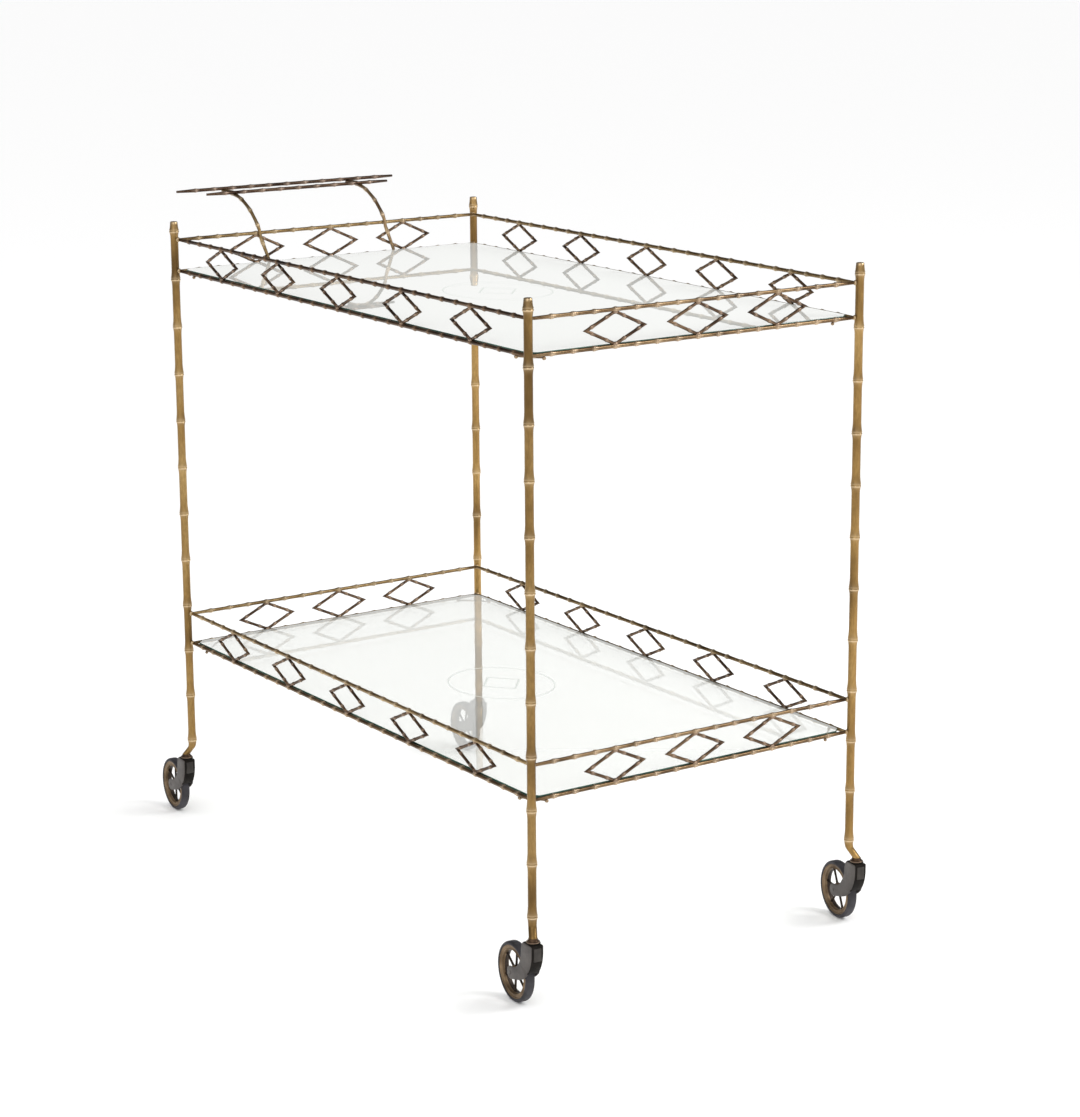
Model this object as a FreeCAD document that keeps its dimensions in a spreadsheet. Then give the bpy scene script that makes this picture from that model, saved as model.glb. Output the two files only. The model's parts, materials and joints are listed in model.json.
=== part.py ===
import FreeCAD, Part
import math
import os
import re

import Sketcher
from FreeCAD import Placement, Rotation, Vector

# A two-tier dessert trolley of faux-bamboo brass rods, two glass shelves and four swivel castors.
# Millimetres. +X is the front (the end away from the handle), +Y the left side, +Z up.
# The origin lies on the floor under the middle of the trolley's outline.

# ---------------------------------------------------------------- driving dimensions
SIZES = [
    # the tray rectangle, measured between rail axes, and the heights of the rails
    ("tray_length", 808.5), ("tray_width", 448.1),
    ("lower_shelf_height", 243.0), ("tier_pitch", 496.3), ("gallery_rise", 40.4),
    # bamboo rails: four-sided rods that swell at every node, radii to their corners
    ("rail_sides", 4), ("rail_node_radius", 3.3), ("rail_waist_radius", 2.3),
    ("rail_end_radius", 2.2), ("rail_end_straight", 7.0),
    ("long_rail_intervals", 28), ("short_rail_intervals", 16),
    # lozenges between the two rails of a side, centred on nodes that many intervals apart
    ("long_lozenge_intervals", 5), ("long_lozenge_count", 5),
    ("short_lozenge_intervals", 4), ("short_lozenge_count", 3),
    ("lozenge_width", 82.0), ("lozenge_bar", 2.6), ("lozenge_thickness", 2.8), ("lozenge_tip", 1.0),
    # corner posts, which stand up past the gallery rails
    ("post_stand", 23.3), ("post_offset", 4.3), ("post_sides", 8),
    ("post_node_radius", 5.9), ("post_waist_radius", 4.7), ("post_crown_radius", 4.9),
    ("crown_height", 13.0), ("crown_round", 1.5), ("post_ring_pitch", 62.2),
    ("post_flare", 8.0), ("post_return", 5.0),
    # the foot of each post kicks outward above the fork, through a quick bend and a long one
    ("foot_seat", 3.2), ("foot_radius", 4.0), ("kick_height", 15.0), ("ferrule_height", 6.2),
    ("kick_along", 8.6), ("kick_across", 5.0), ("kick_entry", 1.5), ("kick_entry_share", 0.03),
    ("kick_bend", 6.0), ("kick_bend_share", 0.36), ("kick_entry_swell", 0.3),
    # glass shelves on corner braces
    ("glass_thickness", 5.0), ("glass_clearance", 0.8), ("glass_corner", 9.0),
    ("brace_reach", 33.0), ("brace_width", 5.0), ("brace_thickness", 3.0),
    # handle: two arms in arcs that carry an inner and an outer rod
    ("arm_spacing", 190.0), ("arm_skew", 13.5), ("arm_bend_radius", 103.0), ("arm_reach", 94.0),
    ("arm_rise", 46.5), ("arm_end_straight", 14.0), ("arm_node_radius", 2.9),
    ("arm_waist_radius", 2.2), ("arm_end_radius", 2.1), ("arm_intervals", 6), ("arm_foot_gap", 0.3),
    ("arm_bend_count", 8), ("grip_sides", 6),
    ("grip_node_radius", 2.9), ("grip_waist_radius", 2.1), ("grip_end_radius", 2.2),
    ("outer_rod_length", 330.0), ("outer_rod_intervals", 12),
    ("inner_rod_length", 275.0), ("inner_rod_intervals", 10), ("inner_rod_inset", 34.0),
    # castors
    ("wheel_sides", 20), ("fit_sides", 12), ("running_gap", 0.012),
    ("wheel_diameter", 70.0), ("tyre_width", 13.0), ("tyre_thickness", 4.0), ("tyre_round", 2.0),
    ("rim_width", 11.0), ("rim_thickness", 5.5), ("hub_radius", 7.0), ("spoke_width", 2.2),
    ("spoke_depth", 4.0), ("axle_radius", 2.5), ("axle_stand_out", 0.4),
    ("trail", 40.0), ("fork_headroom", 11.8), ("fork_plate", 1.8), ("fork_side_gap", 0.8),
    ("hub_side_gap", 0.3), ("fork_front", 10.5), ("fork_shoulder", 8.8), ("fork_bend_radius", 42.0),
    ("fork_end_radius", 7.5), ("fork_inner_radius", 25.5), ("fork_crown_length", 9.5),
    ("fork_crown_plate", 2.5), ("fork_rear_rise", 2.0), ("web_length", 27.5),
    ("fork_bend_count", 5), ("fork_end_count", 6), ("fork_inner_count", 4),
    ("swivel_gap", 0.3), ("ferrule_radius", 8.0), ("ferrule_neck_radius", 5.0),
    ("ferrule_flange", 2.4), ("pin_radius", 2.5), ("pin_head_radius", 5.0), ("pin_head", 2.0),
    # each castor stands turned a little about its pin
    ("turn_front_right", -5.0), ("turn_front_left", -9.0),
    ("turn_rear_right", -4.0), ("turn_rear_left", -3.0),
]

doc = FreeCAD.newDocument("dessert_trolley")
sheet = doc.addObject("Spreadsheet::Sheet", "sizes")
for row, (alias, number) in enumerate(SIZES, start=1):
    sheet.set(f"A{row}", alias.replace("_", " "))
    sheet.set(f"B{row}", str(number))
    sheet.setAlias(f"B{row}", alias)
doc.recompute()

ALIASES = re.compile(r"\b(" + "|".join(alias for alias, number in SIZES) + r")\b")


def size(alias):
    """The number in the sheet's cell."""
    return float(getattr(sheet, alias))


def count(alias):
    return int(round(size(alias)))


def bound(formula):
    """The formula with each alias pointing at the sheet, for setExpression."""
    return ALIASES.sub(r"<<sizes>>.\1", formula)


def worth(formula):
    """The number a formula of sheet aliases gives now."""
    return float(sheet.evalExpression(formula))


# ---------------------------------------------------------------- places shared by many pieces
CUT_ALLOWANCE = 2  # how far a cutting tool stands past what it cuts
RAIL_HALF = "(rail_node_radius * cos(180 deg / rail_sides))"  # a rail's half thickness at a node
UP = Vector(0, 0, 1)
CORNERS = {"front_right": (1, -1), "front_left": (1, 1), "rear_right": (-1, -1), "rear_left": (-1, 1)}
SIDES = ("front", "rear", "left", "right")

half_length = size("tray_length") / 2
half_width = size("tray_width") / 2
front_reach = half_length + size("post_offset") + size("kick_along") + size("fork_front")
rear_reach = half_length + size("arm_reach") + size("grip_node_radius")
tray_middle = (rear_reach - front_reach) / 2
tier_heights = {
    "lower": size("lower_shelf_height"),
    "upper": size("lower_shelf_height") + size("tier_pitch"),
}
fork_top = size("wheel_diameter") + size("fork_headroom")
foot_end = fork_top + size("foot_seat")
rail_flat = math.cos(math.pi / size("rail_sides"))
grip_flat = math.cos(math.pi / size("grip_sides"))
foot_x = half_length + size("post_offset") + size("kick_along")
foot_y = half_width + size("post_offset") + size("kick_across")


def feature(name, shape):
    """A named piece whose shape is worked out here from the sheet's sizes."""
    piece = doc.addObject("Part::Feature", name)
    piece.Shape = shape
    piece.Label = name
    return piece


# ---------------------------------------------------------------- bamboo rods
def skin(rings):
    """A closed solid with flat faces through rings of equally many points."""
    faces = []
    for low, high in zip(rings, rings[1:]):
        for i in range(len(low)):
            j = (i + 1) % len(low)
            a, b, c, d = low[i], low[j], high[j], high[i]
            normal = (b - a).cross(c - a)
            if abs(normal.dot(d - a)) < 1e-7 * max(normal.Length, 1e-9):
                faces.append(Part.Face(Part.makePolygon([a, b, c, d, a])))
            else:
                faces.append(Part.Face(Part.makePolygon([a, b, c, a])))
                faces.append(Part.Face(Part.makePolygon([a, c, d, a])))
    for cap in (rings[0], rings[-1]):
        faces.append(Part.Face(Part.makePolygon(cap + [cap[0]])))
    solid = Part.makeSolid(Part.makeShell(faces))
    if solid.Volume < 0:
        solid.reverse()
    return solid


def bamboo_stations(length, intervals, node, waist, end, end_straight):
    """(distance, radius) pairs: thin straight ends, a swelling at each node, a waist between."""
    pitch = length / intervals
    stations = [(0, end), (end_straight, end)]
    for k in range(1, intervals):
        stations.append((k * pitch, node))
        if k < intervals - 1:
            stations.append(((k + 0.5) * pitch, waist))
    stations += [(length - end_straight, end), (length, end)]
    return stations


def radius_at(stations, distance):
    """The rod's radius at a distance along it."""
    for (s0, r0), (s1, r1) in zip(stations, stations[1:]):
        if s0 <= distance <= s1:
            return r0 + (r1 - r0) * (distance - s0) / (s1 - s0)
    return stations[-1][1]


def widest_near(stations, distance, reach):
    """The largest radius within reach of a distance along the rod."""
    near = [r for s, r in stations if abs(s - distance) <= reach]
    return max(near + [radius_at(stations, distance - reach), radius_at(stations, distance + reach)])


def ring_points(centre, across, upward, radius, sides):
    """A regular polygon of corners round a rod's axis, with flats above and below."""
    angles = [math.pi / sides * (2 * i + 1 + sides / 2) for i in range(sides)]
    return [centre + across * (radius * math.cos(a)) + upward * (radius * math.sin(a)) for a in angles]


def turned(levels, sides):
    """A solid turned about Z, in flats, through (height, radius) levels, radii to the corners."""
    axes = Vector(1, 0, 0), Vector(0, 1, 0)
    return skin([ring_points(UP * height, *axes, radius, sides) for height, radius in levels])


# ---------------------------------------------------------------- posts
def post_shape(sx, sy):
    """One corner post: twelve nodes, a tapered crown and the kicked-out foot."""
    post_top = tier_heights["upper"] + size("gallery_rise") + size("post_stand")
    kick_end = fork_top + size("ferrule_height")
    kick_top = kick_end + size("kick_height")
    crown_ring = post_top - size("crown_height")
    levels = [
        (post_top, size("post_crown_radius") - size("crown_round") / 2, 0.0),
        (post_top - size("crown_round"), size("post_crown_radius"), 0.0),
        (crown_ring, size("post_node_radius"), 0.0),
    ]
    ring = crown_ring
    waist = size("post_waist_radius")
    while True:
        levels.append((ring - size("post_return"), waist, 0.0))
        ring -= size("post_ring_pitch")
        if ring - size("post_return") < kick_top - size("post_flare"):
            break
        levels.append((ring + size("post_flare"), waist, 0.0))
        levels.append((ring, size("post_node_radius"), 0.0))
    foot = size("foot_radius")
    levels = [level for level in levels if level[0] > kick_top]
    levels.append((kick_top - size("kick_entry"), foot + size("kick_entry_swell"), size("kick_entry_share")))
    levels.append((kick_top - size("kick_bend"), foot, size("kick_bend_share")))
    levels += [(kick_end, foot, 1.0), (foot_end, foot, 1.0)]
    rings = []
    for height, radius, kick in levels:
        x = tray_middle + sx * (half_length + size("post_offset") + kick * size("kick_along"))
        y = sy * (half_width + size("post_offset") + kick * size("kick_across"))
        axes = Vector(1, 0, 0), Vector(0, 1, 0)
        rings.append(ring_points(Vector(x, y, height), *axes, radius, count("post_sides")))
    return skin(rings)


posts = {corner: feature(f"post_{corner}", post_shape(*signs)) for corner, signs in CORNERS.items()}


# ---------------------------------------------------------------- rails
def side_frame(side):
    """Start corner, direction, inward direction, length and end posts of a side's rails."""
    if side in ("left", "right"):
        sy = 1 if side == "left" else -1
        start = Vector(tray_middle - half_length, sy * half_width, 0)
        return start, Vector(1, 0, 0), Vector(0, -sy, 0), 2 * half_length, [f"rear_{side}", f"front_{side}"]
    sx = 1 if side == "front" else -1
    start = Vector(tray_middle + sx * half_length, -half_width, 0)
    return start, Vector(0, 1, 0), Vector(-sx, 0, 0), 2 * half_width, [f"{side}_right", f"{side}_left"]


def rail_stations(side):
    long_side = side in ("left", "right")
    intervals = count("long_rail_intervals" if long_side else "short_rail_intervals")
    length = size("tray_length" if long_side else "tray_width")
    return bamboo_stations(length, intervals, size("rail_node_radius"), size("rail_waist_radius"),
                           size("rail_end_radius"), size("rail_end_straight"))


def rail_shape(side, height):
    """A rail mitred at both ends to its neighbours and coped round the two posts."""
    start, along, inward, length, ends = side_frame(side)
    rings = []
    for distance, radius in rail_stations(side):
        centre = start + along * distance + UP * height
        points = ring_points(centre, inward, UP, radius, count("rail_sides"))
        if distance == 0 or distance == length:
            lean = 1 if distance == 0 else -1
            points = [p + along * (lean * (p - centre).dot(inward)) for p in points]
        rings.append(points)
    rail = skin(rings)
    for corner in ends:
        rail = rail.cut(posts[corner].Shape)
    return rail.Solids[0]


for tier, shelf_height in tier_heights.items():
    for side in SIDES:
        feature(f"{tier}_shelf_rail_{side}", rail_shape(side, shelf_height))
        feature(f"{tier}_gallery_rail_{side}", rail_shape(side, shelf_height + size("gallery_rise")))


# ---------------------------------------------------------------- sketches bound to the sheet
def new_body(name):
    body = doc.addObject("PartDesign::Body", name)
    body.Label = name
    body.AllowCompound = True
    return body


def plane_sketch(body, plane, name):
    sketch = body.newObject("Sketcher::SketchObject", name)
    sketch.AttachmentSupport = [(next(f for f in body.Origin.OriginFeatures if f.Role == plane), "")]
    sketch.MapMode = "FlatFace"
    return sketch


def hold(sketch, geometry, vertex, x_formula, y_formula):
    """Holds a sketch point at coordinates given by formulas of the sheet."""
    for kind, formula, axis in (("DistanceX", x_formula, -2), ("DistanceY", y_formula, -1)):
        if formula == "0":
            sketch.addConstraint(Sketcher.Constraint("PointOnObject", geometry, vertex, axis))
            continue
        index = sketch.addConstraint(
            Sketcher.Constraint(kind, -1, 1, geometry, vertex, worth(formula)))
        sketch.setExpression(f"Constraints[{index}]", bound(formula))


def outline(sketch, corners):
    """A closed polygon whose corners are held by formulas."""
    points = [Vector(worth(x), worth(y), 0) for x, y in corners]
    first = len(sketch.Geometry)
    for a, b in zip(points, points[1:] + points[:1]):
        sketch.addGeometry(Part.LineSegment(a, b), False)
    for i, (x, y) in enumerate(corners):
        line, after = first + i, first + (i + 1) % len(corners)
        sketch.addConstraint(Sketcher.Constraint("Coincident", line, 2, after, 1))
        hold(sketch, line, 1, x, y)


def pad(body, sketch, length_formula, midplane, name):
    made = body.newObject("PartDesign::Pad", name)
    made.Profile = sketch
    made.Midplane = midplane
    made.setExpression("Length", bound(length_formula))
    return made


def pocket(body, sketch, length_formula, midplane, name):
    made = body.newObject("PartDesign::Pocket", name)
    made.Profile = sketch
    made.Midplane = midplane
    made.setExpression("Length", bound(length_formula))
    return made


# ---------------------------------------------------------------- lozenges
def lozenge_body(name, side, shelf_height):
    """The row of lozenge frames of one side, as one sketch padded and repeated along the rail."""
    long_side = side in ("left", "right")
    kind = "long" if long_side else "short"
    pitch = f"tray_{'length' if long_side else 'width'} / {kind}_rail_intervals * {kind}_lozenge_intervals"
    start, along, inward, length, ends = side_frame(side)
    body = new_body(name)
    sketch = plane_sketch(body, "XZ_Plane", f"{name}_outline")
    half_w, tip = "(lozenge_width / 2)", "lozenge_tip"
    half_h = f"(gallery_rise / 2 - {RAIL_HALF})"
    outline(sketch, [(half_w, "0"), (tip, half_h), (f"-{tip}", half_h), (f"-{half_w}", "0"),
                     (f"-{tip}", f"-{half_h}"), (tip, f"-{half_h}")])
    full_h = f"({half_h} * {half_w} / ({half_w} - {tip}))"
    slant = f"sqrt({half_w}^2 + {full_h}^2)"
    inner_w = f"({half_w} - lozenge_bar * {slant} / {full_h})"
    inner_h = f"({full_h} - lozenge_bar * {slant} / {half_w})"
    outline(sketch, [(inner_w, "0"), ("0", inner_h), (f"-{inner_w}", "0"), ("0", f"-{inner_h}")])
    frame = pad(body, sketch, "lozenge_thickness", True, f"{name}_frame")
    row = body.newObject("PartDesign::LinearPattern", f"{name}_row")
    row.Originals = [frame]
    row.Direction = (sketch, ["H_Axis"])
    row.setExpression("Length", bound(f"({kind}_lozenge_count - 1) * {pitch}"))
    row.Occurrences = count(f"{kind}_lozenge_count")
    body.Tip = row
    middle = start + along * (length / 2)
    first = middle - along * (worth(pitch) * (count(f"{kind}_lozenge_count") - 1) / 2)
    turn = 0 if long_side else 90
    body.Placement = Placement(first + UP * (shelf_height + size("gallery_rise") / 2), Rotation(UP, turn))
    return body


for tier, shelf_height in tier_heights.items():
    for side in SIDES:
        lozenge_body(f"{tier}_lozenges_{side}", side, shelf_height)


# ---------------------------------------------------------------- glass and braces
glass_bottom_drop = worth(RAIL_HALF)


def glass_body(name, shelf_height):
    """A glass shelf with clipped corners, which rests on the corner braces."""
    body = new_body(name)
    sketch = plane_sketch(body, "XY_Plane", f"{name}_outline")
    x = f"(tray_length / 2 - {RAIL_HALF} - glass_clearance)"
    y = f"(tray_width / 2 - {RAIL_HALF} - glass_clearance)"
    cut_x, cut_y = f"({x} - glass_corner)", f"({y} - glass_corner)"
    outline(sketch, [(x, f"-{cut_y}"), (x, cut_y), (cut_x, y), (f"-{cut_x}", y),
                     (f"-{x}", cut_y), (f"-{x}", f"-{cut_y}"), (f"-{cut_x}", f"-{y}"), (cut_x, f"-{y}")])
    pad(body, sketch, "glass_thickness", False, f"{name}_plate")
    body.Placement = Placement(Vector(tray_middle, 0, shelf_height - glass_bottom_drop), Rotation())
    return body


def brace_shape(sx, sy, shelf_height):
    """A flat strip across a corner, under both shelf rails, ending under the rails' axes."""
    corner = Vector(tray_middle + sx * half_length, sy * half_width, shelf_height - glass_bottom_drop)
    near = size("brace_reach") - size("brace_width") / math.sqrt(2)
    far = size("brace_reach") + size("brace_width") / math.sqrt(2)
    spots = [(near, 0), (far, 0), (0, far), (0, near)]
    points = [corner + Vector(-sx * x, -sy * y, 0) for x, y in spots]
    face = Part.Face(Part.makePolygon(points + [points[0]]))
    return face.extrude(UP * -size("brace_thickness"))


for tier, shelf_height in tier_heights.items():
    glass_body(f"{tier}_glass_shelf", shelf_height)
    braces = [brace_shape(*signs, shelf_height) for signs in CORNERS.values()]
    feature(f"{tier}_corner_braces", Part.makeCompound(braces))


# ---------------------------------------------------------------- handle
gallery_top = tier_heights["upper"] + size("gallery_rise")
rear_rail_x = tray_middle - half_length
arm_end = Vector(rear_rail_x - size("arm_reach"), 0, gallery_top + size("arm_rise"))
arc_middle = arm_end + Vector(size("arm_end_straight"), 0, -size("arm_bend_radius"))
rear_rail = rail_stations("rear")


def arm_course(foot_y_place):
    """The arm's centre line as points: straight end, arc down to the gallery rail, leg to the foot."""
    top_y = foot_y_place - size("arm_skew")
    rail_half = widest_near(rear_rail, half_width + top_y, size("arm_waist_radius")) * rail_flat
    cross_x = rear_rail_x + rail_half + size("arm_waist_radius")
    turn = math.asin((cross_x - arc_middle.x) / size("arm_bend_radius"))
    steps = count("arm_bend_count")
    course = [arm_end]
    for i in range(steps + 1):
        angle = turn * i / steps
        course.append(arc_middle + Vector(math.sin(angle), 0, math.cos(angle)) * size("arm_bend_radius"))
    course = [Vector(p.x, top_y, p.z) for p in course]
    foot_x_place = rear_rail_x + size("lozenge_thickness") / 2 + size("arm_node_radius") * grip_flat
    foot_height = tier_heights["upper"] - glass_bottom_drop + size("glass_thickness") + size("arm_foot_gap")
    foot = Vector(foot_x_place, foot_y_place, foot_height)
    level = Vector(cross_x, top_y, gallery_top - size("rail_node_radius"))
    return course + [level, foot]


def arm_shape(foot_y_place):
    """A bamboo arm along its course, seated on the gallery rail, its foot cut level just above the glass."""
    course = arm_course(foot_y_place)
    lengths = [0.0]
    for a, b in zip(course, course[1:]):
        lengths.append(lengths[-1] + (b - a).Length)
    swelling = bamboo_stations(lengths[-1], count("arm_intervals"), size("arm_node_radius"),
                               size("arm_waist_radius"), size("arm_end_radius"), size("arm_end_straight") / 2)
    rings = []
    for i, point in enumerate(course):
        before, after = course[max(i - 1, 0)], course[min(i + 1, len(course) - 1)]
        heading = (after - before).normalize()
        across = Vector(0, 1, 0)
        across = (across - heading * across.dot(heading)).normalize()
        outward = across.cross(heading) * -1
        radius = radius_at(swelling, lengths[i])
        if i == len(course) - 1:
            across, outward = Vector(0, 1, 0), Vector(1, 0, 0)
        rings.append(ring_points(point, across, outward, radius, count("grip_sides")))
    return skin(rings).cut(doc.getObject("upper_gallery_rail_rear").Shape).Solids[0]


arm_feet = {"right": -size("arm_spacing") / 2, "left": size("arm_spacing") / 2}
for hand, foot_place in arm_feet.items():
    feature(f"handle_arm_{hand}", arm_shape(foot_place))


def grip_piece(name, kind, arm_point, tilt, arm_radius):
    """A bamboo grip rod along Y, with one flat turned to face the two arms that it lies on."""
    length, intervals = size(f"{kind}_rod_length"), count(f"{kind}_rod_intervals")
    stations = bamboo_stations(length, intervals, size("grip_node_radius"), size("grip_waist_radius"),
                               size("grip_end_radius"), size("rail_end_straight"))
    seats = [widest_near(stations, length / 2 + foot, size("arm_waist_radius")) for foot in arm_feet.values()]
    ahead = Vector(math.cos(tilt), 0, -math.sin(tilt))
    normal = Vector(math.sin(tilt), 0, math.cos(tilt))
    start = Vector(arm_point.x, -size("arm_skew") - length / 2, arm_point.z)
    start += normal * ((arm_radius + max(seats)) * grip_flat)
    feature(name, skin([ring_points(start + Vector(0, s, 0), ahead, normal, r, count("grip_sides"))
                        for s, r in stations]))


outer_seat = arm_end + Vector(size("grip_node_radius"), 0, 0)
grip_piece("handle_outer_rod", "outer", outer_seat, 0.0, size("arm_end_radius"))
inner_tilt = (size("inner_rod_inset") - size("arm_end_straight")) / size("arm_bend_radius")
inner_seat = arc_middle + Vector(math.sin(inner_tilt), 0, math.cos(inner_tilt)) * size("arm_bend_radius")
grip_piece("handle_inner_rod", "inner", inner_seat, inner_tilt, size("arm_node_radius"))


# ---------------------------------------------------------------- castors
def caster_place(corner):
    """The castor's own frame: on the floor under the swivel pin, turned by its trail angle."""
    sx, sy = CORNERS[corner]
    spot = Vector(tray_middle + sx * foot_x, sy * foot_y, 0)
    return Placement(spot, Rotation(UP, size(f"turn_{corner}")))


wheel_place = Placement(Vector(-size("trail"), 0, size("wheel_diameter") / 2), Rotation(Vector(1, 0, 0), -90))
FORK_SPACE = "(tyre_width + 2 * fork_side_gap)"
pin_floor = fork_top - size("fork_crown_plate") - size("swivel_gap")
wheel_flat = math.cos(math.pi / size("wheel_sides"))
fit_flat = math.cos(math.pi / size("fit_sides"))


def ferrule_shape(place, foot):
    """A turned collar: the leg's end sits in its top, the swivel pin in its bottom."""
    low, top = fork_top + size("swivel_gap"), fork_top + size("ferrule_height")
    collar = turned([(low, size("ferrule_radius")), (low + size("ferrule_flange"), size("ferrule_radius")),
                     (top, size("ferrule_neck_radius"))], count("fit_sides"))
    bore = turned([(low - CUT_ALLOWANCE, size("pin_radius")), (foot_end, size("pin_radius"))], count("fit_sides"))
    collar.Placement = place
    bore.Placement = place
    return collar.cut([bore, foot]).Solids[0]


def pin_shape(place):
    """A headed swivel pin: shank up into the ferrule, head under the fork's crown plate."""
    pin = turned([(pin_floor - size("pin_head"), size("pin_head_radius")), (pin_floor, size("pin_head_radius")),
                  (pin_floor, size("pin_radius")), (foot_end, size("pin_radius"))], count("fit_sides"))
    pin.Placement = place
    return pin


def tyre_shape():
    """A rubber tyre with bevelled shoulders, standing on one of its flats."""
    bead, tread = size("wheel_diameter") / 2 - size("tyre_thickness"), size("wheel_diameter") / 2
    edge, crown = size("tyre_width") / 2, size("tyre_width") / 2 - size("tyre_round")
    shoulder = tread - size("tyre_round")
    levels = [(-edge, shoulder), (-crown, tread), (crown, tread), (edge, shoulder)]
    disc = turned([(z, r / wheel_flat) for z, r in levels], count("wheel_sides"))
    reach = edge + CUT_ALLOWANCE
    return disc.cut(turned([(-reach, bead / wheel_flat), (reach, bead / wheel_flat)], count("wheel_sides")))


def rim_piece(name, place):
    """A cast rim with its hub and six spokes, bored for the axle."""
    def prism(part, sides, radius, height):
        made = doc.addObject("Part::Prism", f"{name}_{part}")
        made.Placement = Placement(Vector(), Rotation(UP, 180 / size(sides)))
        made.setExpression("Polygon", bound(sides))
        made.setExpression("Circumradius", bound(f"({radius}) / cos(180 deg / {sides})"))
        made.setExpression("Height", bound(height))
        made.setExpression("Placement.Base.z", bound(f"-({height}) / 2"))
        return made

    hub_width = f"({FORK_SPACE} - 2 * hub_side_gap)"
    ring_inside = "(wheel_diameter / 2 - tyre_thickness - rim_thickness)"
    ring = doc.addObject("Part::Cut", f"{name}_ring")
    ring.Base = prism("disc", "wheel_sides", "wheel_diameter / 2 - tyre_thickness", "rim_width")
    ring.Tool = prism("window", "wheel_sides", ring_inside, f"rim_width + {CUT_ALLOWANCE}")
    bars = []
    for turn in (0, 60, 120):
        bar = doc.addObject("Part::Box", f"{name}_spokes_{turn}")
        bar.setExpression("Length", bound(f"2 * {ring_inside} + rim_thickness"))
        bar.setExpression("Width", bound("spoke_width"))
        bar.setExpression("Height", bound("spoke_depth"))
        middle = Vector(-worth(f"2 * {ring_inside} + rim_thickness") / 2, -size("spoke_width") / 2,
                        -size("spoke_depth") / 2)
        bar.Placement = Placement(Vector(), Rotation(UP, turn)).multiply(Placement(middle, Rotation()))
        bars.append(bar)
    cast = doc.addObject("Part::MultiFuse", f"{name}_casting")
    cast.Shapes = [ring, prism("hub", "fit_sides", "hub_radius", hub_width)] + bars
    wheel = doc.addObject("Part::Cut", name)
    wheel.Base = cast
    wheel.Tool = prism("bore", "fit_sides", "axle_radius + running_gap", f"{hub_width} + {CUT_ALLOWANCE}")
    wheel.Label = name
    wheel.Placement = place.multiply(wheel_place)
    return wheel


def axle_shape():
    """The rivet through both cheeks and the hub."""
    half = worth(FORK_SPACE) / 2 + size("fork_plate") + size("axle_stand_out")
    return turned([(-half, size("axle_radius")), (half, size("axle_radius"))], count("fit_sides"))


def tangent_line(c1, r1, c2, r2):
    """Where the outer tangent under two circles touches each of them."""
    gap = c2 - c1
    angle = math.atan2(gap.y, gap.x) + math.acos((r1 - r2) / gap.Length)
    normal = Vector(math.cos(angle), math.sin(angle), 0)
    return c1 + normal * r1, c2 + normal * r2


def bend(centre, radius, start_point, end_point, steps):
    """Points along an arc from one point to another, clockwise, both ends included."""
    start = math.atan2(start_point.y - centre.y, start_point.x - centre.x)
    end = math.atan2(end_point.y - centre.y, end_point.x - centre.x)
    if end > start:
        end -= 2 * math.pi
    angles = [start + (end - start) * i / steps for i in range(steps + 1)]
    return [centre + Vector(math.cos(a), math.sin(a), 0) * radius for a in angles]


def polygon(sketch, points):
    for a, b in zip(points, points[1:] + points[:1]):
        sketch.addGeometry(Part.LineSegment(a, b), False)


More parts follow.
